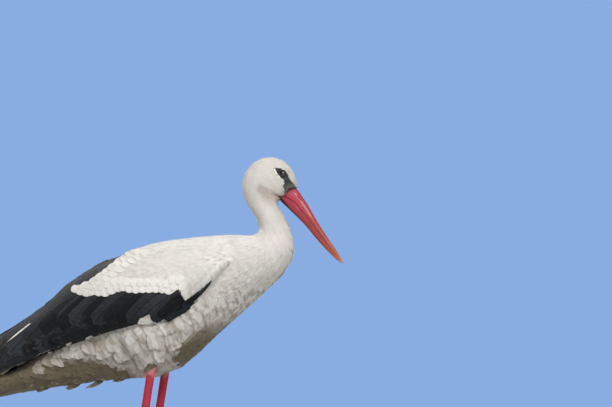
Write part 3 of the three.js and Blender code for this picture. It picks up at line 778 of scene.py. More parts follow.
def coatTree():
    # scatters feathers over the skin, lays them along the coat and presses them to its curve
    tree = bpy.data.node_groups.new("featherCoat", "GeometryNodeTree")
    kinds = {"Geometry": "Geometry", "Crowd": "String", "Vanes": "Collection", "Seed": "Int"}
    kinds.update(dict.fromkeys(("Spacing", "Density", "Thickness", "Disorder", "Locks"), "Float"))
    sockets = {}
    for name, kind in {**kinds, "Material": "Material"}.items():
        socket = tree.interface.new_socket(name, in_out="INPUT", socket_type=f"NodeSocket{kind}")
        sockets[name] = socket.identifier
    tree.interface.new_socket("Geometry", in_out="OUTPUT", socket_type="NodeSocketGeometry")
    put = partial(addNode, tree)
    given = put("NodeGroupInput").outputs
    vectors, numbers = ("lie", "vaneSize", "vanePlace", "rootPlace", "rootNormal"), ("coatDepth", "tone")
    read = {name: put("GeometryNodeInputNamedAttribute", {"Name": name}, data_type=kind)
            for kind, names in (("FLOAT_VECTOR", vectors), ("FLOAT", numbers)) for name in names}
    crowd = put("GeometryNodeInputNamedAttribute", {"Name": given["Crowd"]}, data_type="FLOAT")
    few = put("FunctionNodeCompare", crowd, 0.02, data_type="FLOAT", operation="LESS_THAN")
    kept = put("GeometryNodeDeleteGeometry", given["Geometry"], few, domain="FACE")
    points = put("GeometryNodeDistributePointsOnFaces",
                 {"Mesh": kept, "Distance Min": given["Spacing"], "Density Max": given["Density"],
                  "Density Factor": crowd, "Seed": given["Seed"]}, distribute_method="POISSON")
    randoms = []
    for salt, low, high in ((1.0, -1.0, 1.0), (3.0, 0.84, 1.16), (4.0, 0.84, 1.16), (5.0, 0.0, 1.0)):
        seed = put("Math MULTIPLY_ADD", given["Seed"], 10.0, salt)
        randoms.append(put("FunctionNodeRandomValue", low, high, {"Seed": seed}, data_type="FLOAT"))
    cloud = points
    for name, kind, value in (
            ("rootPlace", "FLOAT_VECTOR", put("GeometryNodeInputPosition")),
            ("rootNormal", "FLOAT_VECTOR", points.outputs["Normal"]), ("tone", "FLOAT", randoms[3])):
        cloud = put("GeometryNodeStoreNamedAttribute", {"Geometry": cloud, "Name": name, "Value": value},
                    data_type=kind, domain="POINT")

    # each feather turns with the lie, swung a little, and takes its own length and width
    noise = put("TexNoise", {"Scale": 45.0, "Detail": 1.0}, noise_dimensions="3D")
    swing = put("Math ADD", put("Math MULTIPLY_ADD", noise, 2.4, -1.2), randoms[0])
    turn = put("Math MULTIPLY", swing, given["Disorder"])
    swung = put("VectorRotate", {"Vector": read["lie"], "Axis": read["rootNormal"], "Angle": turn},
                rotation_type="AXIS_ANGLE")
    turned = put("FunctionNodeAxesToRotation", read["rootNormal"], swung,
                 primary_axis="Z", secondary_axis="X")
    size = put("SeparateXYZ", read["vaneSize"]).outputs
    long, wide = (put("Math MULTIPLY", size[i], randoms[i + 1]) for i in (0, 1))
    scale = put("VectorMath SCALE", put("CombineXYZ", long, wide, given["Thickness"]), 0.001)
    vanes = put("GeometryNodeCollectionInfo",
                {"Collection": given["Vanes"], "Separate Children": True, "Reset Children": True})
    pick = put("FunctionNodeRandomValue", 0, 4, {"Seed": 9}, data_type="INT")
    placed = put("GeometryNodeInstanceOnPoints",
                 {"Points": cloud, "Instance": vanes, "Pick Instance": True, "Instance Index": pick,
                  "Rotation": turned, "Scale": scale})
    real = put("GeometryNodeRealizeInstances", placed)

    # its height over the skin: low at the root, near the coat's depth further out, in locks at its tip
    here = put("GeometryNodeInputPosition")
    place, normal = (put("GeometryNodeSampleNearestSurface", {
        "Mesh": given["Geometry"], "Value": value, "Sample Position": here}, data_type="FLOAT_VECTOR")
        for value in (here, put("GeometryNodeInputNormal")))
    part = put("SeparateXYZ", read["vanePlace"]).outputs
    left = put("Math POWER", put("Math SUBTRACT", 1.0, part[1]), 3.6)
    level = put("Math MULTIPLY", put("Math MULTIPLY_ADD", left, -0.55, 0.96), read["coatDepth"])
    loose = put("Math MULTIPLY", size[2], put("Math ADD", read["tone"], noise))
    lock = put("TexNoise", {"Vector": lockSpace(put, read["rootPlace"]), "Scale": 1.0, "Detail": 1.0})
    lump = put("Math MULTIPLY", put("Math MULTIPLY_ADD", lock, 2.0, -1.0), given["Locks"])
    lift = put("Math MULTIPLY", put("Math ADD", loose, lump), put("Math POWER", part[1], 2.0))
    high = put("Math ADD", put("Math MULTIPLY_ADD", part[2], given["Thickness"], level), lift)

    # pressed to the skin, or left as it lies where the nearest skin faces another way
    over = put("VectorMath SCALE", put("VectorMath SCALE", normal, high), 0.001)
    pressed = put("VectorMath ADD", place, over)
    agree = put("VectorMath DOT_PRODUCT", normal, read["rootNormal"])
    trust = put("MapRange SMOOTHSTEP", agree, 0.05, 0.6)
    free = put("VectorMath SCALE", put("VectorMath SCALE", read["rootNormal"], level), 0.001)
    final = put("Mix VECTOR", trust, put("VectorMath ADD", here, free), pressed)
    moved = put("GeometryNodeSetPosition", {"Geometry": real, "Position": final})
    soft = put("GeometryNodeSetShadeSmooth", moved)
    dressed = put("GeometryNodeSetMaterial", {"Geometry": soft, "Material": given["Material"]})
    put("NodeGroupOutput", dressed)
    return tree, sockets


bodyAxis = [(-389, 269), (-298, 313), (-220, 336), (-170, 365), (-95, 420), (0, 490), (75, 540),
            (150, 565), (205, 590), (216, 620), (200, 655), (196, 690), (220, 705), (258, 688)]


def bodyUnwrap(places):
    # the skin rolled out: along the body's axis, and round it from the belly over the back to the belly
    flat = toMillimetres(places)
    side = flat[:, [0, 2]]
    _, along = lineDistance(side, bodyAxis)
    shares = runOf(bodyAxis) / runOf(bodyAxis)[-1]
    axisAt = lambda share: np.stack([np.interp(share, shares, column) for column in zip(*bodyAxis)], 1)
    step = unit(axisAt(along + 0.01) - axisAt(along - 0.01))
    up = ((side - axisAt(along)) * np.stack([-step[:, 1], step[:, 0]], 1)).sum(1)
    turn = np.arctan2(np.abs(flat[:, 1]), up) / math.pi
    return np.stack([along, 0.5 + np.sign(flat[:, 1]) * turn / 2], 1)


def bakeMap(mesh, places):
    corners = readAll(mesh.loops, "vertex_index", 1, np.int32)
    layer = mesh.uv_layers.new(name="OFBake")
    layer.data.foreach_set("uv", places[corners].astype(np.float32).ravel())


def tuftMap(mesh, roots, small):
    # each tuft becomes a patch at its root's place on the rolled-out skin
    roots = bodyUnwrap(roots)
    bakeMap(mesh, (roots - roots.min(0)) / np.ptp(roots, axis=0) * 0.994 + 0.002 + small * 0.003)


def growCoat(part, vane, spacing, thickness, disorder, locks, seed):
    name = f"coat{part}"
    piece = linked("growing", skinMesh.copy())
    grower = piece.modifiers.new("coat", "NODES")
    grower.node_group = coatNodes
    values = {"Crowd": f"grow{part}", "Vanes": vaneGroups[vane], "Spacing": spacing / 1000, "Seed": seed,
              "Density": 3e6 / spacing**2, "Thickness": thickness, "Disorder": disorder, "Locks": locks,
              "Material": whiteFeather}
    for label, value in values.items():
        grower[coatInputs[label]] = value
    mesh = plainMesh(piece)
    bpy.data.objects.remove(piece)
    mesh.name = name
    small = readAll(mesh.attributes["vanePlace"].data, "vector", 3, np.float32)[:, :2]
    tuftMap(mesh, readAll(mesh.attributes["rootPlace"].data, "vector", 3, np.float32), small)
    setAttribute(mesh, "vaneSpot", np.pad(small, ((0, 0), (0, 1))), "FLOAT_VECTOR")
    for spare in ("vanePlace", "rootPlace", "rootNormal", "lie", "vaneSize", "coatDepth", *crowd,
                  "bareReach", "gapeReach", "legShare", "billReach", "dark"):
        if spare in mesh.attributes:
            mesh.attributes.remove(mesh.attributes[spare])
    print(f"stage: {name}, {len(mesh.polygons)} faces")
    return linked(name, mesh)


# White plumage: keratin barbs, matt with a soft sheen; olive and brown on the belly, partly real soiling and
# partly painted shade, with painted shade between the breast's streaks

plumage = {
    "cream": "#EBE8E4",
    "shade": "#B5ADA2",  # between the streaks of the breast
    "stainAndShade": "#665B45",  # soiled belly and undertail, partly painted shade of the underside
    "soil": "#A48E82",  # rubbed in round the gape and the bill's base, partly painted shade in the gape's fold
    "soot": "#33343A",  # specks beside the bill
}


def plumageColour(put):
    place = put("TexCoord").outputs["Object"]
    # painted stain and shade: the plumage turns olive-brown below a line slanting along the belly, partly
    # real soiling and partly painted shade of the underside
    under = put("Math ADD", put("VectorMath DOT_PRODUCT", place, (-134.7, 0, 875)), -419.3 + 0.1347 * ahead)
    patch = put("TexNoise", {"Vector": place, "Scale": 24.0, "Detail": 3.0})
    stainedAndShaded = put("Math ADD", put("Math MULTIPLY_ADD", patch, 30.0, -15.0), under)
    stainedAndShaded = put("MapRange SMOOTHSTEP", stainedAndShaded, -36.0, -92.0)
    stainedAndShaded = put("Math MULTIPLY", stainedAndShaded, put("Math SUBTRACT", 1.0, put("Attribute clean")))
    # painted shadow between the breast's streaks, deepening down the breast as it turns from the light
    streak = put("TexNoise", {"Vector": lockSpace(put, place), "Scale": 1.0, "Detail": 2.0})
    breast = put("MapRange SMOOTHSTEP", under, 12.0, -40.0, 0.14, 1.0)
    streak = put("Math MULTIPLY", put("MapRange", streak, 0.56, 0.36), breast)
    # painted shade: the plumage greys towards the tail
    rearShade = put("MapRange SMOOTHSTEP", put("SeparateXYZ", place), 0.05, -0.12, 0.0, 0.175)
    soil = put("Math MULTIPLY", put("Attribute soil"), patch)
    speck = put("TexNoise", {"Vector": place, "Scale": 900.0, "Detail": 1.0})
    speck = put("MapRange", put("Math MULTIPLY_ADD", speck, 0.8, put("Attribute soot")), 0.85, 1.1)
    colour = plumage["cream"]
    for share, tone in ((streak, "shade"), (stainedAndShaded, "stainAndShade"), (rearShade, "stainAndShade"), (soil, "soil"),
                        (speck, "soot")):
        colour = put("Mix RGBA", share, colour, plumage[tone])
    return colour


def barbs(put, slant, count):
    # the place on a feather, the reach from its shaft and the wave of the barbs that run out from it
    spot = put("SeparateXYZ", put("Attribute vaneSpot")).outputs
    aside = put("Math ABSOLUTE", put("Math SUBTRACT", spot[0], 0.5))
    run = put("Math MULTIPLY_ADD", aside, slant, spot[1])
    return spot, aside, put("Math SINE", put("Math MULTIPLY", run, count))


# light wanders through the barbs; each feather is a little lighter or darker, shaded at its root
whiteFeather, put = newMaterial("whiteFeather", {
    "Roughness": 0.82, "Sheen Weight": 0.15, "Subsurface Weight": 0.4,
    "Subsurface Radius": (1.0, 0.9, 0.8), "Subsurface Scale": 0.0015})
spot, _, wave = barbs(put, -0.9, 90.0)
# painted shade: each feather darker towards its root, where the next feathers cover it
depth = put("MapRange", spot[1], 0.15, 0.8, 0.92, 1.0)
tone = put("MapRange", put("Attribute tone"), 0.0, 1.0, 0.955, 1.02)
shaded = put("VectorMath SCALE", plumageColour(put), put("Math MULTIPLY", depth, tone))
paint(whiteFeather, shaded, wave, 0.06, 0.0004)

# bird skin: the plumage's colours where feathers cover it, black and matt round the eyes, red on the legs
birdSkin, put = newMaterial("birdSkin", {"Roughness": 0.62})
fine = put("TexNoise", {"Scale": 700.0, "Detail": 3.0})
bare = put("MapRange", put("Math MULTIPLY_ADD", fine, 1.4, put("Attribute bareReach")), 1.15, 0.35)
gape = put("MapRange", put("Attribute gapeReach"), 3.0, 1.6)
grit = put("MapRange", put("TexNoise", {"Scale": 620.0, "Detail": 2.0}), 0.5, 0.62, 0.0, 0.7)
grit = put("Math MULTIPLY", grit, put("MapRange", put("Attribute billReach"), 13.0, 3.0))
blackSkin = put("Mix RGBA", grit, put("Mix RGBA", fine, "#0D0F11", "#26292C"), "#A5A79C")
scutes = put("TexVoronoi", {"Scale": 330.0}, feature="DISTANCE_TO_EDGE")  # scales 3 mm across
scutes = put("MapRange", scutes, 0.0, 0.12)
wear = put("TexNoise", {"Scale": 60.0, "Detail": 4.0})
height = put("SeparateXYZ", put("TexCoord").outputs["Object"]).outputs[2]
chalk = put("Math MULTIPLY", put("MapRange", height, 0.30, 0.345, 0.0, 0.9), wear)
chalk = put("MapRange", chalk, 0.2, 0.5, 0.0, 0.7)
red = put("Mix RGBA", scutes, "#7E1A2A", put("Mix RGBA", wear, "#D01440", "#A8203A"))
red = put("Mix RGBA", chalk, red, "#D9B5B0")
leg = put("Attribute legShare")
colour = plumageColour(put)
for share, other in ((gape, "#7A2C30"), (bare, blackSkin), (put("Attribute dark"), "#121416"), (leg, red)):
    colour = put("Mix RGBA", share, colour, other)
paint(birdSkin, colour, put("Mix FLOAT", leg, fine, scutes), 0.5, 0.0005)
skinMesh.materials.append(birdSkin)

coats = {  # feather, spacing and thickness in mm, disorder, height of the locks in mm, seed
    "Face": ("down", 0.8, 0.1, 0.12, 0.0, 3),
    "Head": ("down", 1.25, 0.12, 0.1, 0.15, 5),
    "Neck": ("hackle", 1.75, 0.2, 0.1, 0.5, 7),
    "Breast": ("hackle", 3.0, 0.3, 0.13, 2.2, 11),
    "Body": ("contour", 5.0, 0.3, 0.12, 0.8, 13),
    "Coverts": ("covert", 5.2, 0.2, 0.08, 0.4, 17),
}
coatNodes, coatInputs = coatTree()
vaneGroups = {style: vaneSet(style) for style in vaneStyles}
coatPieces = [growCoat(part, *look) for part, look in coats.items()]
for group in vaneGroups.values():
    for vane in list(group.objects):
        bpy.data.objects.remove(vane)
    bpy.data.collections.remove(group)

# Feathers laid one by one: each follows a line drawn in side or top view and lies on the body there

tailTree = searchTree(mergedCopy(["tail"], 0))
castFrom = {"beside": 300, "above": 900, "search": 90}  # where a cast starts, and how far it looks round, mm
wingLift = {"tip": 8.0, "from": 135.0, "over": 534.0, "power": 2.5}  # the left wing sits higher, mm


def castOnto(tree, plan, view, sign, wrap=False):
    # the place and the way out of the body at points given in one view, mm
    def cast(a, b, view=view):
        start, way = (a, b, castFrom["above"]), (0, 0, -1)
        if view == "side":
            start, way = (a, sign * castFrom["beside"], b), (0, -sign, 0)
        spot, normal, _, _ = tree.ray_cast(Vector(toMetres(start)), Vector(way))
        past = spot is not None and view == "side" and spot.y * sign < 0.004  # the far side of the body
        return (None, None) if spot is None or past else (toMillimetres(spot), normal)

    spots, outs = np.empty((2, len(plan), 3))
    for i, (a, b) in enumerate(plan):
        spot, normal = cast(a, b)
        if spot is None:
            tries = ((s, *cast(a, b + s)) for step in range(1, castFrom["search"]) for s in (-step, step))
            nothing = 0, np.array((a, sign * 20, b)), Vector((0, sign, 0))
            over, edge, normal = next((found for found in tries if found[1] is not None), nothing)
            spot = np.array((a, edge[1], b) if view == "side" else (a, b, edge[2]))
            if wrap and over < 0:  # the vane folds over the ridge
                top, up = cast(a, edge[1] + sign * over, "top")
                spot, normal = (top, up) if top is not None else (edge, normal)
        spots[i], outs[i] = spot, normal
    return spots, outs


def bladeWidth(v, look):
    grown = look["rootWidth"] + (1 - look["rootWidth"]) * smoothStep(0, look["widest"], v)
    end = np.clip((v - look["tipFrom"]) / (1 - look["tipFrom"]), 0, 1)
    return grown * np.sqrt(np.maximum(1 - end ** look["tipBlunt"], 0.003))


def gridEdges(ids):
    pairs = (ids[:, :-1], ids[:, 1:]), (ids[:-1], ids[1:])
    return np.concatenate([np.stack([first.ravel(), second.ravel()], 1) for first, second in pairs])


def isOutward(places, outs, faces):
    a, b, c = (places[faces[:, k]] for k in (0, 1, 2))
    return (np.cross(b - a, c - a) * outs[faces[:, 0]]).sum() > 0


def cellMap(mesh, number, spots):
    # few and large feathers: each has its own cell of the map
    count = number[-1] + 1
    columns = math.ceil(math.sqrt(count / 4))
    column, line = number % columns, number // columns
    across = (column + 0.04 + 0.92 * spots[:, 0]) / columns
    bakeMap(mesh, np.stack([across, (line + 0.02 + 0.96 * spots[:, 1]) / math.ceil(count / columns)], 1))


def layFeathers(name, rows, look, material):
    # rows: root, tip, width and bend in mm; a feather is a thin closed blade with a raised shaft
    rng = np.random.default_rng(look["seed"])
    view = look.get("view", "side")
    across = np.array(look["across"])
    along = np.linspace(0, 1, look["along"]) ** 0.75
    n, m = len(across), len(along)
    ids = np.arange(n * m).reshape(m, n)
    top = np.stack([ids[:-1, :-1], ids[:-1, 1:], ids[1:, 1:], ids[1:, :-1]], 2).reshape(-1, 4)
    rim = np.concatenate([ids[0, :], ids[1:, -1], ids[-1, -2::-1], ids[-2:0:-1, 0]])
    low = n * m
    after = np.roll(rim, -1)
    patch = np.concatenate([top, top[:, ::-1] + low, np.stack([after, rim, rim + low, after + low], 1)])
    verts, faces, spots, tones, roots = [], [], [], [], []
    for sign in look.get("signs", (-1, 1)):
        for root, tip, width, bend in rows:
            root, tip = np.array(root, float), np.array(tip, float)
            if view == "top":
                root[1], tip[1] = root[1] * sign, tip[1] * sign
            way = unit(tip - root)
            perp = np.array([way[1], -way[0]])
            u, v = np.meshgrid(across, along)
            half = width / 2 * bladeWidth(v, look)
            frayed = 1 - look.get("fray", 0) * rng.random(v.shape) * (np.abs(u) > 0.9)
            teeth = look.get("teeth", 0) * rng.random(v.shape) * smoothStep(0.86, 1, v)
            centre = root + v[..., None] * (tip - root) + (bend * 4 * v * (1 - v))[..., None] * perp
            plan = (centre + perp * (u * half * frayed)[..., None] - way * teeth[..., None]).reshape(-1, 2)
            if view == "side" and sign > 0:
                reach = np.clip((wingLift["from"] - plan[:, 0]) / wingLift["over"], 0, 1)
                plan[:, 1] += wingLift["tip"] * reach ** wingLift["power"] * look.get("raised", 1)
            lying, outs = castOnto(look.get("on", formTree), plan, view, sign, look.get("wrap", False))
            outs = unit(smoothed(outs, gridEdges(ids), 3, 1.0, 0.0))
            u, v = u.ravel(), v.ravel()
            lean = look["tilt"] * (u if view == "side" else u * sign)
            height = look["rootHigh"] + (look["tipHigh"] - look["rootHigh"]) * v ** look["rise"] + lean
            height = height + look["camber"] * (1 - u**2) + rng.uniform(-1, 1) * look.get("jitter", 0.1)
            shaft = look["shaft"] * (np.abs(u) < 0.05) * (1 - 0.7 * v)
            upper = lying + outs * (height + shaft)[:, None]
            under = lying + outs * (height - look["thick"] * (1 - 0.6 * v))[:, None]
            faces.append((patch if isOutward(upper, outs, top) else patch[:, ::-1]) + len(verts) * 2 * low)
            verts.append(np.concatenate([upper, under]))
            spots.append(np.tile(np.stack([0.5 + u / 2, v], 1), (2, 1)))
            tones.append(np.full(2 * low, rng.random()))
            roots.append(np.tile(lying[n // 2], (2 * low, 1)))
    piece = meshObject(name, toMetres(np.concatenate(verts)), np.concatenate(faces), material)
    mesh = piece.data
    number = np.repeat(np.arange(len(verts)), 2 * low)
    spots, roots = np.concatenate(spots), np.concatenate(roots)
    setAttribute(mesh, "vaneSpot", np.pad(spots, ((0, 0), (0, 1))), "FLOAT_VECTOR")
    setAttribute(mesh, "tone", np.concatenate(tones))
    # each feather is spared the belly's stain and painted shade more at its tip than at its root, so the
    # roots carry painted shade where the feathers overlap
    atRoot, atTip = look.get("clean", (0, 0))
    kept = 0.2 + 0.8 * smoothStep(*look.get("cleanAndLitFrom", (-900, -800)), roots[:, 0])
    setAttribute(mesh, "clean", kept * (atRoot + (atTip - atRoot) * spots[:, 1]))
    if look.get("ownCells"):
        cellMap(mesh, number, spots)
    else:
        tuftMap(mesh, toMetres(roots), spots)
    setAttribute(mesh, "sharp_edge", np.isin(edgesOf(mesh) % low, rim).all(1), "BOOLEAN", "EDGE")
    print(f"stage: {name}, {len(mesh.polygons)} faces")
    return piece


def alongLine(roots, tips, count, widths, bends=(0, 0)):
    # feathers whose roots and tips run along two lines of points
    ends = []
    for line in (roots, tips):
        starts = runOf(line)
        at = np.linspace(0, 1, count) * starts[-1]
        ends.append(np.stack([np.interp(at, starts, column) for column in zip(*line)], 1))
    return list(zip(*ends, *(np.linspace(*pair, count) for pair in (widths, bends))))


# flight feathers: black keratin with a slate bloom, edges worn brown, glossy shafts
blackFeather, put = newMaterial("blackFeather", {"Roughness": 0.56, "Specular IOR Level": 0.12})
spot, aside, wave = barbs(put, -0.5, 260.0)  # barbs 2.5 mm apart, coarser than real ones
cloud = put("TexNoise", {"Scale": 30.0, "Detail": 4.0})
bloom = put("MapRange", put("Math MULTIPLY", cloud, put("Attribute tone")), 0.1, 0.5)
rimAt = put("MapRange", aside, 0.45, 0.5, 0.0, 0.4)
tipAt = put("MapRange", spot[1], 0.965, 1.0, 0.0, 0.75)
worn = put("Math MULTIPLY", put("Math MAXIMUM", rimAt, tipAt), cloud)
colour = put("Mix RGBA", worn, put("Mix RGBA", bloom, "#121418", "#2D3238"), "#5A564F")
colour = put("Mix RGBA", put("MapRange", aside, 0.03, 0.012), colour, "#0E0F11")
paint(blackFeather, colour, wave, 0.09, 0.0004)

blade = {"along": 18, "rootWidth": 0.55, "widest": 0.3, "tipFrom": 0.9, "tipBlunt": 2.2, "rootHigh": -1.6,
         "tipHigh": 1.2, "rise": 0.7, "tilt": 0.55, "camber": 0.4, "shaft": 0.35, "thick": 0.45, "seed": 5,
         "across": (-1, -0.55, -0.09, 0, 0.09, 0.55, 1), "ownCells": True}
flights = {
    "primaries": (alongLine([(-30, 435), (-80, 463)], [(-372, 315), (-398, 334)], 7, (25, 24), (8, 4)),
                  {"tilt": 0.1, "seed": 21}),
    "secondaries": (alongLine([(35, 449), (-30, 459), (-120, 470)], [(-190, 393), (-262, 366), (-300, 366)],
                              10, (26, 30), (3, 4)),
                    {"rootHigh": -1.9, "tipHigh": 1.6, "tilt": 0.2, "seed": 22}),
    "greaterCoverts": (alongLine([(66, 462), (0, 486), (-120, 480)], [(8, 432), (-70, 422), (-186, 420)],
                                 10, (25, 30), (2, 3)),
                       {"rootHigh": -2.4, "tipHigh": 2.0, "along": 12, "seed": 23}),
    "tertials": (alongLine([(-96, 478), (-150, 480), (-190, 455)], [(-150, 416), (-228, 404), (-312, 342)],
                           6, (31, 28), (4, 5)),
                 {"rootHigh": -2.4, "tipHigh": 2.6, "seed": 24}),
    "ridgeTertials": (alongLine([(-84, 527), (-68, 540), (-54, 549)],
                                [(-292, 380), (-312, 384), (-338, 378)], 6, (25, 27), (5, 10)),
                      {"rootHigh": -2.4, "tipHigh": 2.2, "rootWidth": 0.3, "wrap": True, "seed": 25}),
    "alula": (alongLine([(28, 474), (54, 470)], [(-10, 426), (6, 440)], 3, (22, 17), (-2, -3)),
              {"rootHigh": -1.0, "tipHigh": 3.2, "along": 12, "tipFrom": 0.75, "shaft": 0.45, "seed": 26}),
    "wristEdge": (alongLine([(99, 502), (88, 490), (64, 468)], [(84, 484), (70, 471), (44, 452)],
                            7, (4, 12)),
                  {"rootHigh": 0.8, "tipHigh": 2.6, "tilt": 0.2, "along": 8, "tipFrom": 0.7, "seed": 27}),
}
flightPieces = [layFeathers(name, rows, {**blade, **look}, blackFeather)
                for name, (rows, look) in flights.items()]

softBlade = {"across": (-1, -0.5, 0, 0.5, 1), "along": 9, "rootWidth": 0.6, "widest": 0.4, "tipFrom": 0.55,
             "tipBlunt": 2.0, "rootHigh": -3.2, "tipHigh": 1.3, "rise": 0.8, "tilt": 0.0, "camber": 0.5,
             "shaft": 0.0, "thick": 0.35, "fray": 0.12, "jitter": 0.3, "seed": 3}


def shifted(line, by):
    return [(x + by[0], z + by[1]) for x, z in line]


def lobe(root, tip, width, count, ragged, rng):
    # a soft lock: narrow vanes side by side whose tips make one round end
    root, tip = np.array(root, float), np.array(tip, float)
    way = unit(tip - root)
    perp = np.array([way[1], -way[0]])
    length = np.linalg.norm(tip - root)
    rows = []
    for k in rng.permutation(count):
        s = (2 * k + 1) / count - 1
        start = root + perp * s * width * 0.4 - way * length * rng.uniform(-0.1, 0.0)
        end = tip + perp * s * width * 0.38 - way * length * (0.3 * s * s + rng.uniform(0, ragged))
        rows.append((start, end, width / count * rng.uniform(2.4, 3.4), rng.uniform(-1.5, 1.5)))
    return rows


rng = np.random.default_rng(12)
scallopTips = [(-166, 482), (-146, 473), (-127, 477), (-112, 471), (-98, 476), (-77, 484), (-55, 478),
               (-28, 479), (-2, 479), (14, 476), (24, 483)]
ridgeTips = [(-54, 564), (-73, 555), (-96, 539), (-115, 522), (-132, 509), (-148, 498), (-160, 487)]
handTips = [(35, 493), (41, 479), (48, 467), (56, 462), (64, 468), (90, 494), (118, 524)]
wingWhites = []
for tips, fromRoot, fromTip, count, widths in (
        (scallopTips, (24, 22), (0, 0), 17, (20, 18)), (scallopTips[1:], (24, 34), (-4, 12), 15, (20, 18)),
        (ridgeTips, (34, 6), (4, -8), 10, (19, 18)), (ridgeTips, (50, 4), (18, -11), 10, (19, 18)),
        (handTips, (14, 30), (0, 0), 11, (17, 13))):
    wingWhites += alongLine(shifted(tips, fromRoot), shifted(tips, fromTip), count, widths)
wingWhites += [((70, 500), (57, 459), 15, 0), ((58, 500), (50, 464), 14, 0), ((148, 575), (117, 549), 17, 0),
               ((158, 562), (129, 538), 16, 0)]
flankLobes = [((-84, 397), (-118, 357), 30), ((-48, 399), (-81, 351), 32), ((-8, 401), (-38, 337), 32),
              ((-128, 385), (-173, 361), 28), ((16, 401), (-4, 350), 28),
              ((-166, 371), (-205, 347), 26), ((-200, 355), (-240, 331), 24),
              ((-66, 401), (-98, 372), 30), ((-28, 403), (-58, 368), 32),
              ((-106, 393), (-146, 372), 30), ((-148, 379), (-188, 362), 26),
              ((8, 405), (-18, 374), 30), ((36, 409), (18, 372), 28), ((-184, 363), (-222, 348), 24)]
flankRows = [line for root, tip, width in flankLobes for line in lobe(root, tip, width, 5, 0.05, rng)]
for start, *_ in flankRows:  # no root comes up over the wing
    start[1] = min(start[1], np.interp(-start[0], *zip(*((-x, z - 8) for x, z in wingUnderEdge))))
fringeTips = [(-40, 328), (-66, 320), (-96, 312), (-120, 316), (-145, 300), (-170, 309), (-186, 298),
              (-214, 305), (-240, 294), (-262, 299)]
fringeRows = [line for x, z in fringeTips for line in lobe((x + 38, z + 17), (x, z + 3), 9, 3, 0.3, rng)]


troughDepth = 4.5  # mm


def inTrough(x, y):
    # whether the back at (x, y) lies deep between the ridges of the folded wings
    spots, _ = castOnto(formTree, [(x, s) for s in (*range(-24, 25, 4), -y, y)], "top", 1)
    return spots[-2:, 2].max() < spots[:-2, 2].max() - troughDepth


rumpRows = [((x, 0.8 * y), (x - 34, y), 9, 0) for x in range(-180, -60, 10) for y in (2, 6)
            if inTrough(x, y) and inTrough(x - 34, y + 3)]
tailRows = [((-212, y * 0.35), (-388 + 0.12 * y, y), 21, 0) for y in (43, 35.5, 28, 20.5, 13, 5)]
whites = {
    "wingWhites": (wingWhites, {"along": 12, "rootHigh": -2.4, "thick": 0.2, "jitter": 0.15, "fray": 0.05,
                                "teeth": 1.0, "across": (-1, -0.75, -0.5, -0.25, 0, 0.25, 0.5, 0.75, 1),
                                "wrap": True, "clean": (0.4, 0.8)}),
    "triangle": ([((6, 440), (-39, 422.5), 25, 0)],
                 {"tipHigh": 2.8, "rootHigh": -1.4, "tipFrom": 0.25, "tipBlunt": 1.1, "clean": (1, 1)}),
    "paleEdge": ([((-244, 422), (-286, 386), 3.4, 0)],
                 {"tipHigh": 4.0, "rootHigh": 2.2, "tipFrom": 0.25, "clean": (0.8, 0.8), "signs": (-1,)}),
    "rumpFeathers": (rumpRows, {"along": 10, "rootHigh": -2.0, "tipHigh": 0.6, "clean": (1, 1),
                                "view": "top"}),
    "flankLocks": (flankRows, {"tipHigh": 4.4, "rootHigh": -4.6, "rise": 0.9, "raised": 0, "jitter": 0.5,
                               "clean": (0.4, 0.8), "cleanAndLitFrom": (-260, -100), "tipFrom": 0.5, "along": 12,
                               "thick": 0.25, "fray": 0}),
    "bellyFringe": (fringeRows, {"tipHigh": 2.0, "rootHigh": -3.0, "jitter": 0.6, "tipFrom": 0.15,
                                 "tipBlunt": 1.0, "raised": 0, "along": 10, "clean": (0, 0.25)}),
    "tailFeathers": (tailRows, {"along": 14, "rootHigh": -0.5, "tipHigh": 1.2, "tilt": -0.6, "tipFrom": 0.88,
                                "tipBlunt": 2.4, "shaft": 0.3, "fray": 0, "across": blade["across"],
                                "view": "top", "on": tailTree, "ownCells": True}),
}
whitePieces = [layFeathers(name, rows, {**softBlade, **look}, whiteFeather)
               for name, (rows, look) in whites.items()]


# Bill: two horn sheaths drawn through stations from base to tip, with a nasal groove and nostrils

billTable = {  # ridge or keel (x, z), cutting edge (x, z), half width
    "upper": [((252, 692), (232, 673), 11.5), ((262, 680.5), (242, 664.5), 11.3),
              ((271, 667.5), (256.5, 655.5), 10.4), ((280.5, 653), (268, 641.5), 9.4),
              ((298, 622.5), (288.5, 616.5), 7.7), ((315.5, 594.5), (308, 590.5), 6.2),
              ((333, 568.5), (327, 565.5), 4.4), ((344.5, 550), (341, 548), 2.2),
              ((349.2, 541.6), (348, 541), 0.5)],
    "lower": [((221, 671), (231.5, 672.5), 10.6), ((229, 660), (241.5, 664), 10.6),
              ((241, 648), (256, 655), 10), ((254.5, 635), (267.5, 641), 9),
              ((276.5, 612.5), (288, 616), 7.3), ((298, 586.5), (307.5, 590), 5.8),
              ((320, 562.5), (326.5, 565), 4), ((338, 545.5), (340.5, 547.5), 2),
              ((345.8, 539.8), (346.6, 540.6), 0.5)],
}
billLook = {
    "rings": 96, "around": 44,
    "nostril": [(260.9, 668.8), (265.5, 663.2), (269.8, 657.4)], "nostrilDeep": 1.3, "nostrilWide": 0.75,
    "groove": [(256, 674), (266, 661.5), (276.5, 646), (292, 622)], "grooveDeep": 0.55, "grooveWide": 1.5,
    "gular": [(221, 669), (241, 647), (268, 620)], "gularWide": 6.5,
}


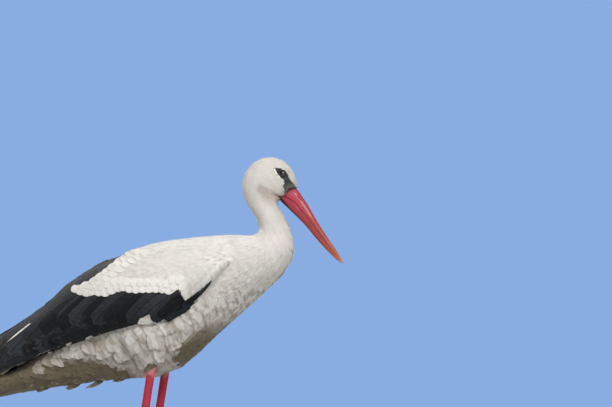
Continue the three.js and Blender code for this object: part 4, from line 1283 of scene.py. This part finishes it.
def curve(stations, count):
    # an even, smooth row of values through the stations
    table = np.array([[*ridge, *edge, half] for ridge, edge, half in stations], float)
    reach = runOf((table[:, :2] + table[:, 2:4]) / 2)
    slopes = np.gradient(table, reach, axis=0)
    at = np.linspace(0, reach[-1], count)
    i = np.clip(np.searchsorted(reach, at, side="right") - 1, 0, len(reach) - 2)
    step = (reach[i + 1] - reach[i])[:, None]
    t = (at - reach[i])[:, None] / step
    one = (2 * t**3 - 3 * t**2 + 1) * table[i] + (t**3 - 2 * t**2 + t) * step * slopes[i]
    two = (3 * t**2 - 2 * t**3) * table[i + 1] + (t**3 - t**2) * step * slopes[i + 1]
    return one + two, at / reach[-1]


def billSheath(name, material):
    isUpper = name == "upper"
    rows, along = curve(billTable[name], billLook["rings"])
    turns = np.linspace(0, math.pi, billLook["around"])
    level = np.linspace(-1, 1, 9)[1:-1]
    arched = 0.12 if isUpper else -0.12  # the lower sheath rises into the hollow of the upper one
    rise = np.concatenate([np.sin(turns) ** 0.9, arched * (1 - level**2)])
    edge, ridge, half = rows[:, None, 2:4], rows[:, None, :2], rows[:, None, 4]
    x, z = np.moveaxis(edge + (ridge - edge) * rise[None, :, None], 2, 0)
    flat = np.stack([x, half * np.concatenate([np.cos(turns), level]), z], 2)
    n = flat.shape[1]
    onSide = np.abs(np.concatenate([np.cos(turns), 0 * level])) > 0.18
    marks = {}
    for mark in ("nostril", "groove", "gular"):
        isThroat = mark == "gular"
        reach, share = lineDistance(flat[..., [0, 2]].reshape(-1, 2), billLook[mark])
        wide = billLook[mark + "Wide"] * (1 - 0.75 * share if isThroat else 1)
        found = np.exp(-((reach / wide) ** 2)) * (1 if isThroat else smoothStep(1, 0.8, share))
        marks[mark] = found.reshape(len(rows), n) * (not isUpper if isThroat else isUpper * onSide)
    sunk = billLook["nostrilDeep"] * marks["nostril"] + billLook["grooveDeep"] * marks["groove"]
    flat[..., 1] -= np.sign(flat[..., 1]) * np.minimum(sunk, 0.6 * np.abs(flat[..., 1]))
    ids = np.arange(flat[..., 0].size).reshape(-1, n)
    nextIds = np.roll(ids, -1, axis=1)
    faces = np.stack([ids[:-1], nextIds[:-1], nextIds[1:], ids[1:]], 2).reshape(-1, 4).tolist()
    faces += [ids[0, ::-1], ids[-1]]
    piece = meshObject(f"bill_{name}_horn", toMetres(flat.reshape(-1, 3)), faces, material)
    bm = bmesh.new()
    bm.from_mesh(piece.data)
    bmesh.ops.recalc_face_normals(bm, faces=bm.faces)
    bm.to_mesh(piece.data)
    bm.free()
    around = np.concatenate([turns / math.pi, 0 * level])
    spot = np.stack([np.repeat(along, n), np.tile(around, len(rows)), np.zeros(ids.size)], 1)
    setAttribute(piece.data, "billSpot", spot, "FLOAT_VECTOR")
    for mark, values in marks.items():
        setAttribute(piece.data, mark, values)
    return piece


# bill horn: red keratin, smooth and faintly glossy, worn in long brown and pale streaks, orange at the tip
billHorn, put = newMaterial("billHorn", {"Roughness": 0.42})
spot = put("Attribute billSpot").outputs["Vector"]
along = put("SeparateXYZ", spot).outputs[0]
long = put("VectorMath MULTIPLY", spot, (7.0, 46.0, 1.0))
streaks = put("TexNoise", {"Vector": long, "Scale": 1.0, "Detail": 4.0, "Roughness": 0.6})
blotch = put("TexNoise", {"Scale": 130.0, "Detail": 3.0})
ramp = put("ValToRGB", along)
# from the base to the tip
stops = {0.0: "#A52549", 0.3: "#9C2E3D", 0.62: "#973F35", 0.88: "#AE5638", 1.0: "#C78752"}
for i, (place, code) in enumerate(stops.items()):
    stop = ramp.color_ramp.elements[i] if i < 2 else ramp.color_ramp.elements.new(place)
    stop.position = place
    stop.color = linear(code)
wornAt = put("MapRange", along, 0.03, 0.45, 0.35, 1.0)
brown = put("Math MULTIPLY", put("MapRange", streaks, 0.52, 0.68, 0.0, 0.6), wornAt)
pale = put("Math MULTIPLY", put("MapRange", streaks, 0.42, 0.3, 0.0, 0.45), wornAt)
colour = put("Mix RGBA", 0.55, put("Mix RGBA", blotch, ramp, "#962738"), ramp)
colour = put("Mix RGBA", pale, put("Mix RGBA", brown, colour, "#70352F"), "#E0A593")
# the nostril slits are painted near black, painted shade in the openings; the gular strip is black skin
for mark, code, low, high, most in (
        ("groove", "#D9A79B", 0.5, 1.1, 0.55), ("nostril", "#2A1216", 0.5, 0.85, 1.0),
        ("gular", "#17181B", 0.55, 0.77, 1.0)):
    broken = put("Math MULTIPLY_ADD", blotch, 0.3, put(f"Attribute {mark}"))
    colour = put("Mix RGBA", put("MapRange", broken, low, high, 0.0, most), colour, code)
paint(billHorn, colour, streaks, 0.25, 0.0006)
billPieces = {name: billSheath(name, billHorn) for name in billTable}
print("stage: bill")


# Eyes: a dark brown iris round a wide pupil under a wet cornea

eyeLook = {"pupil": 3.3, "iris": 5.6, "cornea": 0.35, "segments": 40, "rings": 28}


def eyeBall(side, sign, material):
    bm = bmesh.new()
    bmesh.ops.create_uvsphere(bm, u_segments=eyeLook["segments"], v_segments=eyeLook["rings"], radius=1)
    mesh = bpy.data.meshes.new(f"eyeball_{side}")
    bm.to_mesh(mesh)
    bm.free()
    across, up, aside = placesOf(mesh).T
    reach = np.arccos(np.clip(aside, -1, 1)) * eye["radius"]
    radius = eye["radius"] + eyeLook["cornea"] * smoothStep(eyeLook["iris"], 0, reach)
    centre = np.array([eye["x"], sign * eye["aside"], eye["z"]])
    setPlaces(mesh, toMetres(centre + np.stack([across, sign * aside, up], 1) * radius[:, None]))
    if sign > 0:
        mesh.flip_normals()
    mesh.polygons.foreach_set("use_smooth", [True] * len(mesh.polygons))
    setAttribute(mesh, "fromAxis", reach)
    mesh.materials.append(material)
    return linked(mesh.name, mesh)


# eye: clear wet cornea, so a mirror-like coat over a dark brown iris and black pupil
wet = {"Roughness": 0.12, "Coat Weight": 1.0, "Coat Roughness": 0.02, "Coat IOR": 1.38}
eyeGlass, put = newMaterial("eyeGlass", wet)
reach = put("Attribute fromAxis")
iris = put("Mix RGBA", put("TexNoise", {"Scale": 1400.0, "Detail": 2.0}), "#120C09", "#2C2017")
pupil = put("MapRange", reach, eyeLook["pupil"] - 0.2, eyeLook["pupil"] + 0.2)
white = put("MapRange", reach, eyeLook["iris"] - 0.5, eyeLook["iris"])
paint(eyeGlass, put("Mix RGBA", white, put("Mix RGBA", pupil, "#050506", iris), "#0B0A0A"))
eyePieces = {side: eyeBall(side, sign, eyeGlass) for side, sign in sides.items()}
print("stage: eyes")

# Claws: dark horn, a little glossy, greyer and scratched along their ridge
clawHorn, put = newMaterial("clawHorn", {"Roughness": 0.4})
grain = put("TexNoise", {"Scale": 420.0, "Detail": 4.0, "Roughness": 0.65})
paint(clawHorn, put("Mix RGBA", grain, "#1B1717", "#5E4F48"), grain, 0.3, 0.0003)
clawLook = {"longer": 1.22, "rounding": 2}
clawNames = [f"claw_{toe}_{side}" for side in sides for toe in ("middle", "outer", "inner", "hind")]
claws = linked("sharp", mergedCopy(clawNames, 0))
places = placesOf(claws.data)
rooted = places.copy()
for name in clawNames:  # each claw is drawn back from its tip, so that its root sits in the toe
    (low, high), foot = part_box(name), np.mean(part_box(f"foot_{name.split('_')[-1]}"), axis=0)
    own = ((places > np.array(low) - 1e-5) & (places < np.array(high) + 1e-5)).all(1)
    tip = places[own][np.argmax(np.linalg.norm((places[own] - foot)[:, :2], axis=1))]
    rooted[own] = tip + (places[own] - tip) * clawLook["longer"]
rooted[:, 2] = np.maximum(rooted[:, 2], 0)
setPlaces(claws.data, rooted)
rounding = claws.modifiers.new("round", "SUBSURF")
rounding.levels = clawLook["rounding"]
clawMesh = plainMesh(claws)
bpy.data.objects.remove(claws)
claws = linked("claws", clawMesh)
clawMesh.materials.clear()
clawMesh.materials.append(clawHorn)
clawMesh.polygons.foreach_set("use_smooth", [True] * len(clawMesh.polygons))
print("stage: claws")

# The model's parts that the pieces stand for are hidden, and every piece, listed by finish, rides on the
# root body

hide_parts(*fleshNames)
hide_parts(*clawNames)
for name, piece in billPieces.items():
    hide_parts(f"bill_{name}")
for side, piece in eyePieces.items():
    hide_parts(f"eye_{side}")
finishes = [("white_feather", [skin, *coatPieces, *whitePieces]), ("flight_feather", flightPieces),
            ("bill", billPieces.values()), ("eye", eyePieces.values()), ("claw", [claws])]
for slot, pieces in finishes:
    for piece in pieces:
        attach(piece, "root")
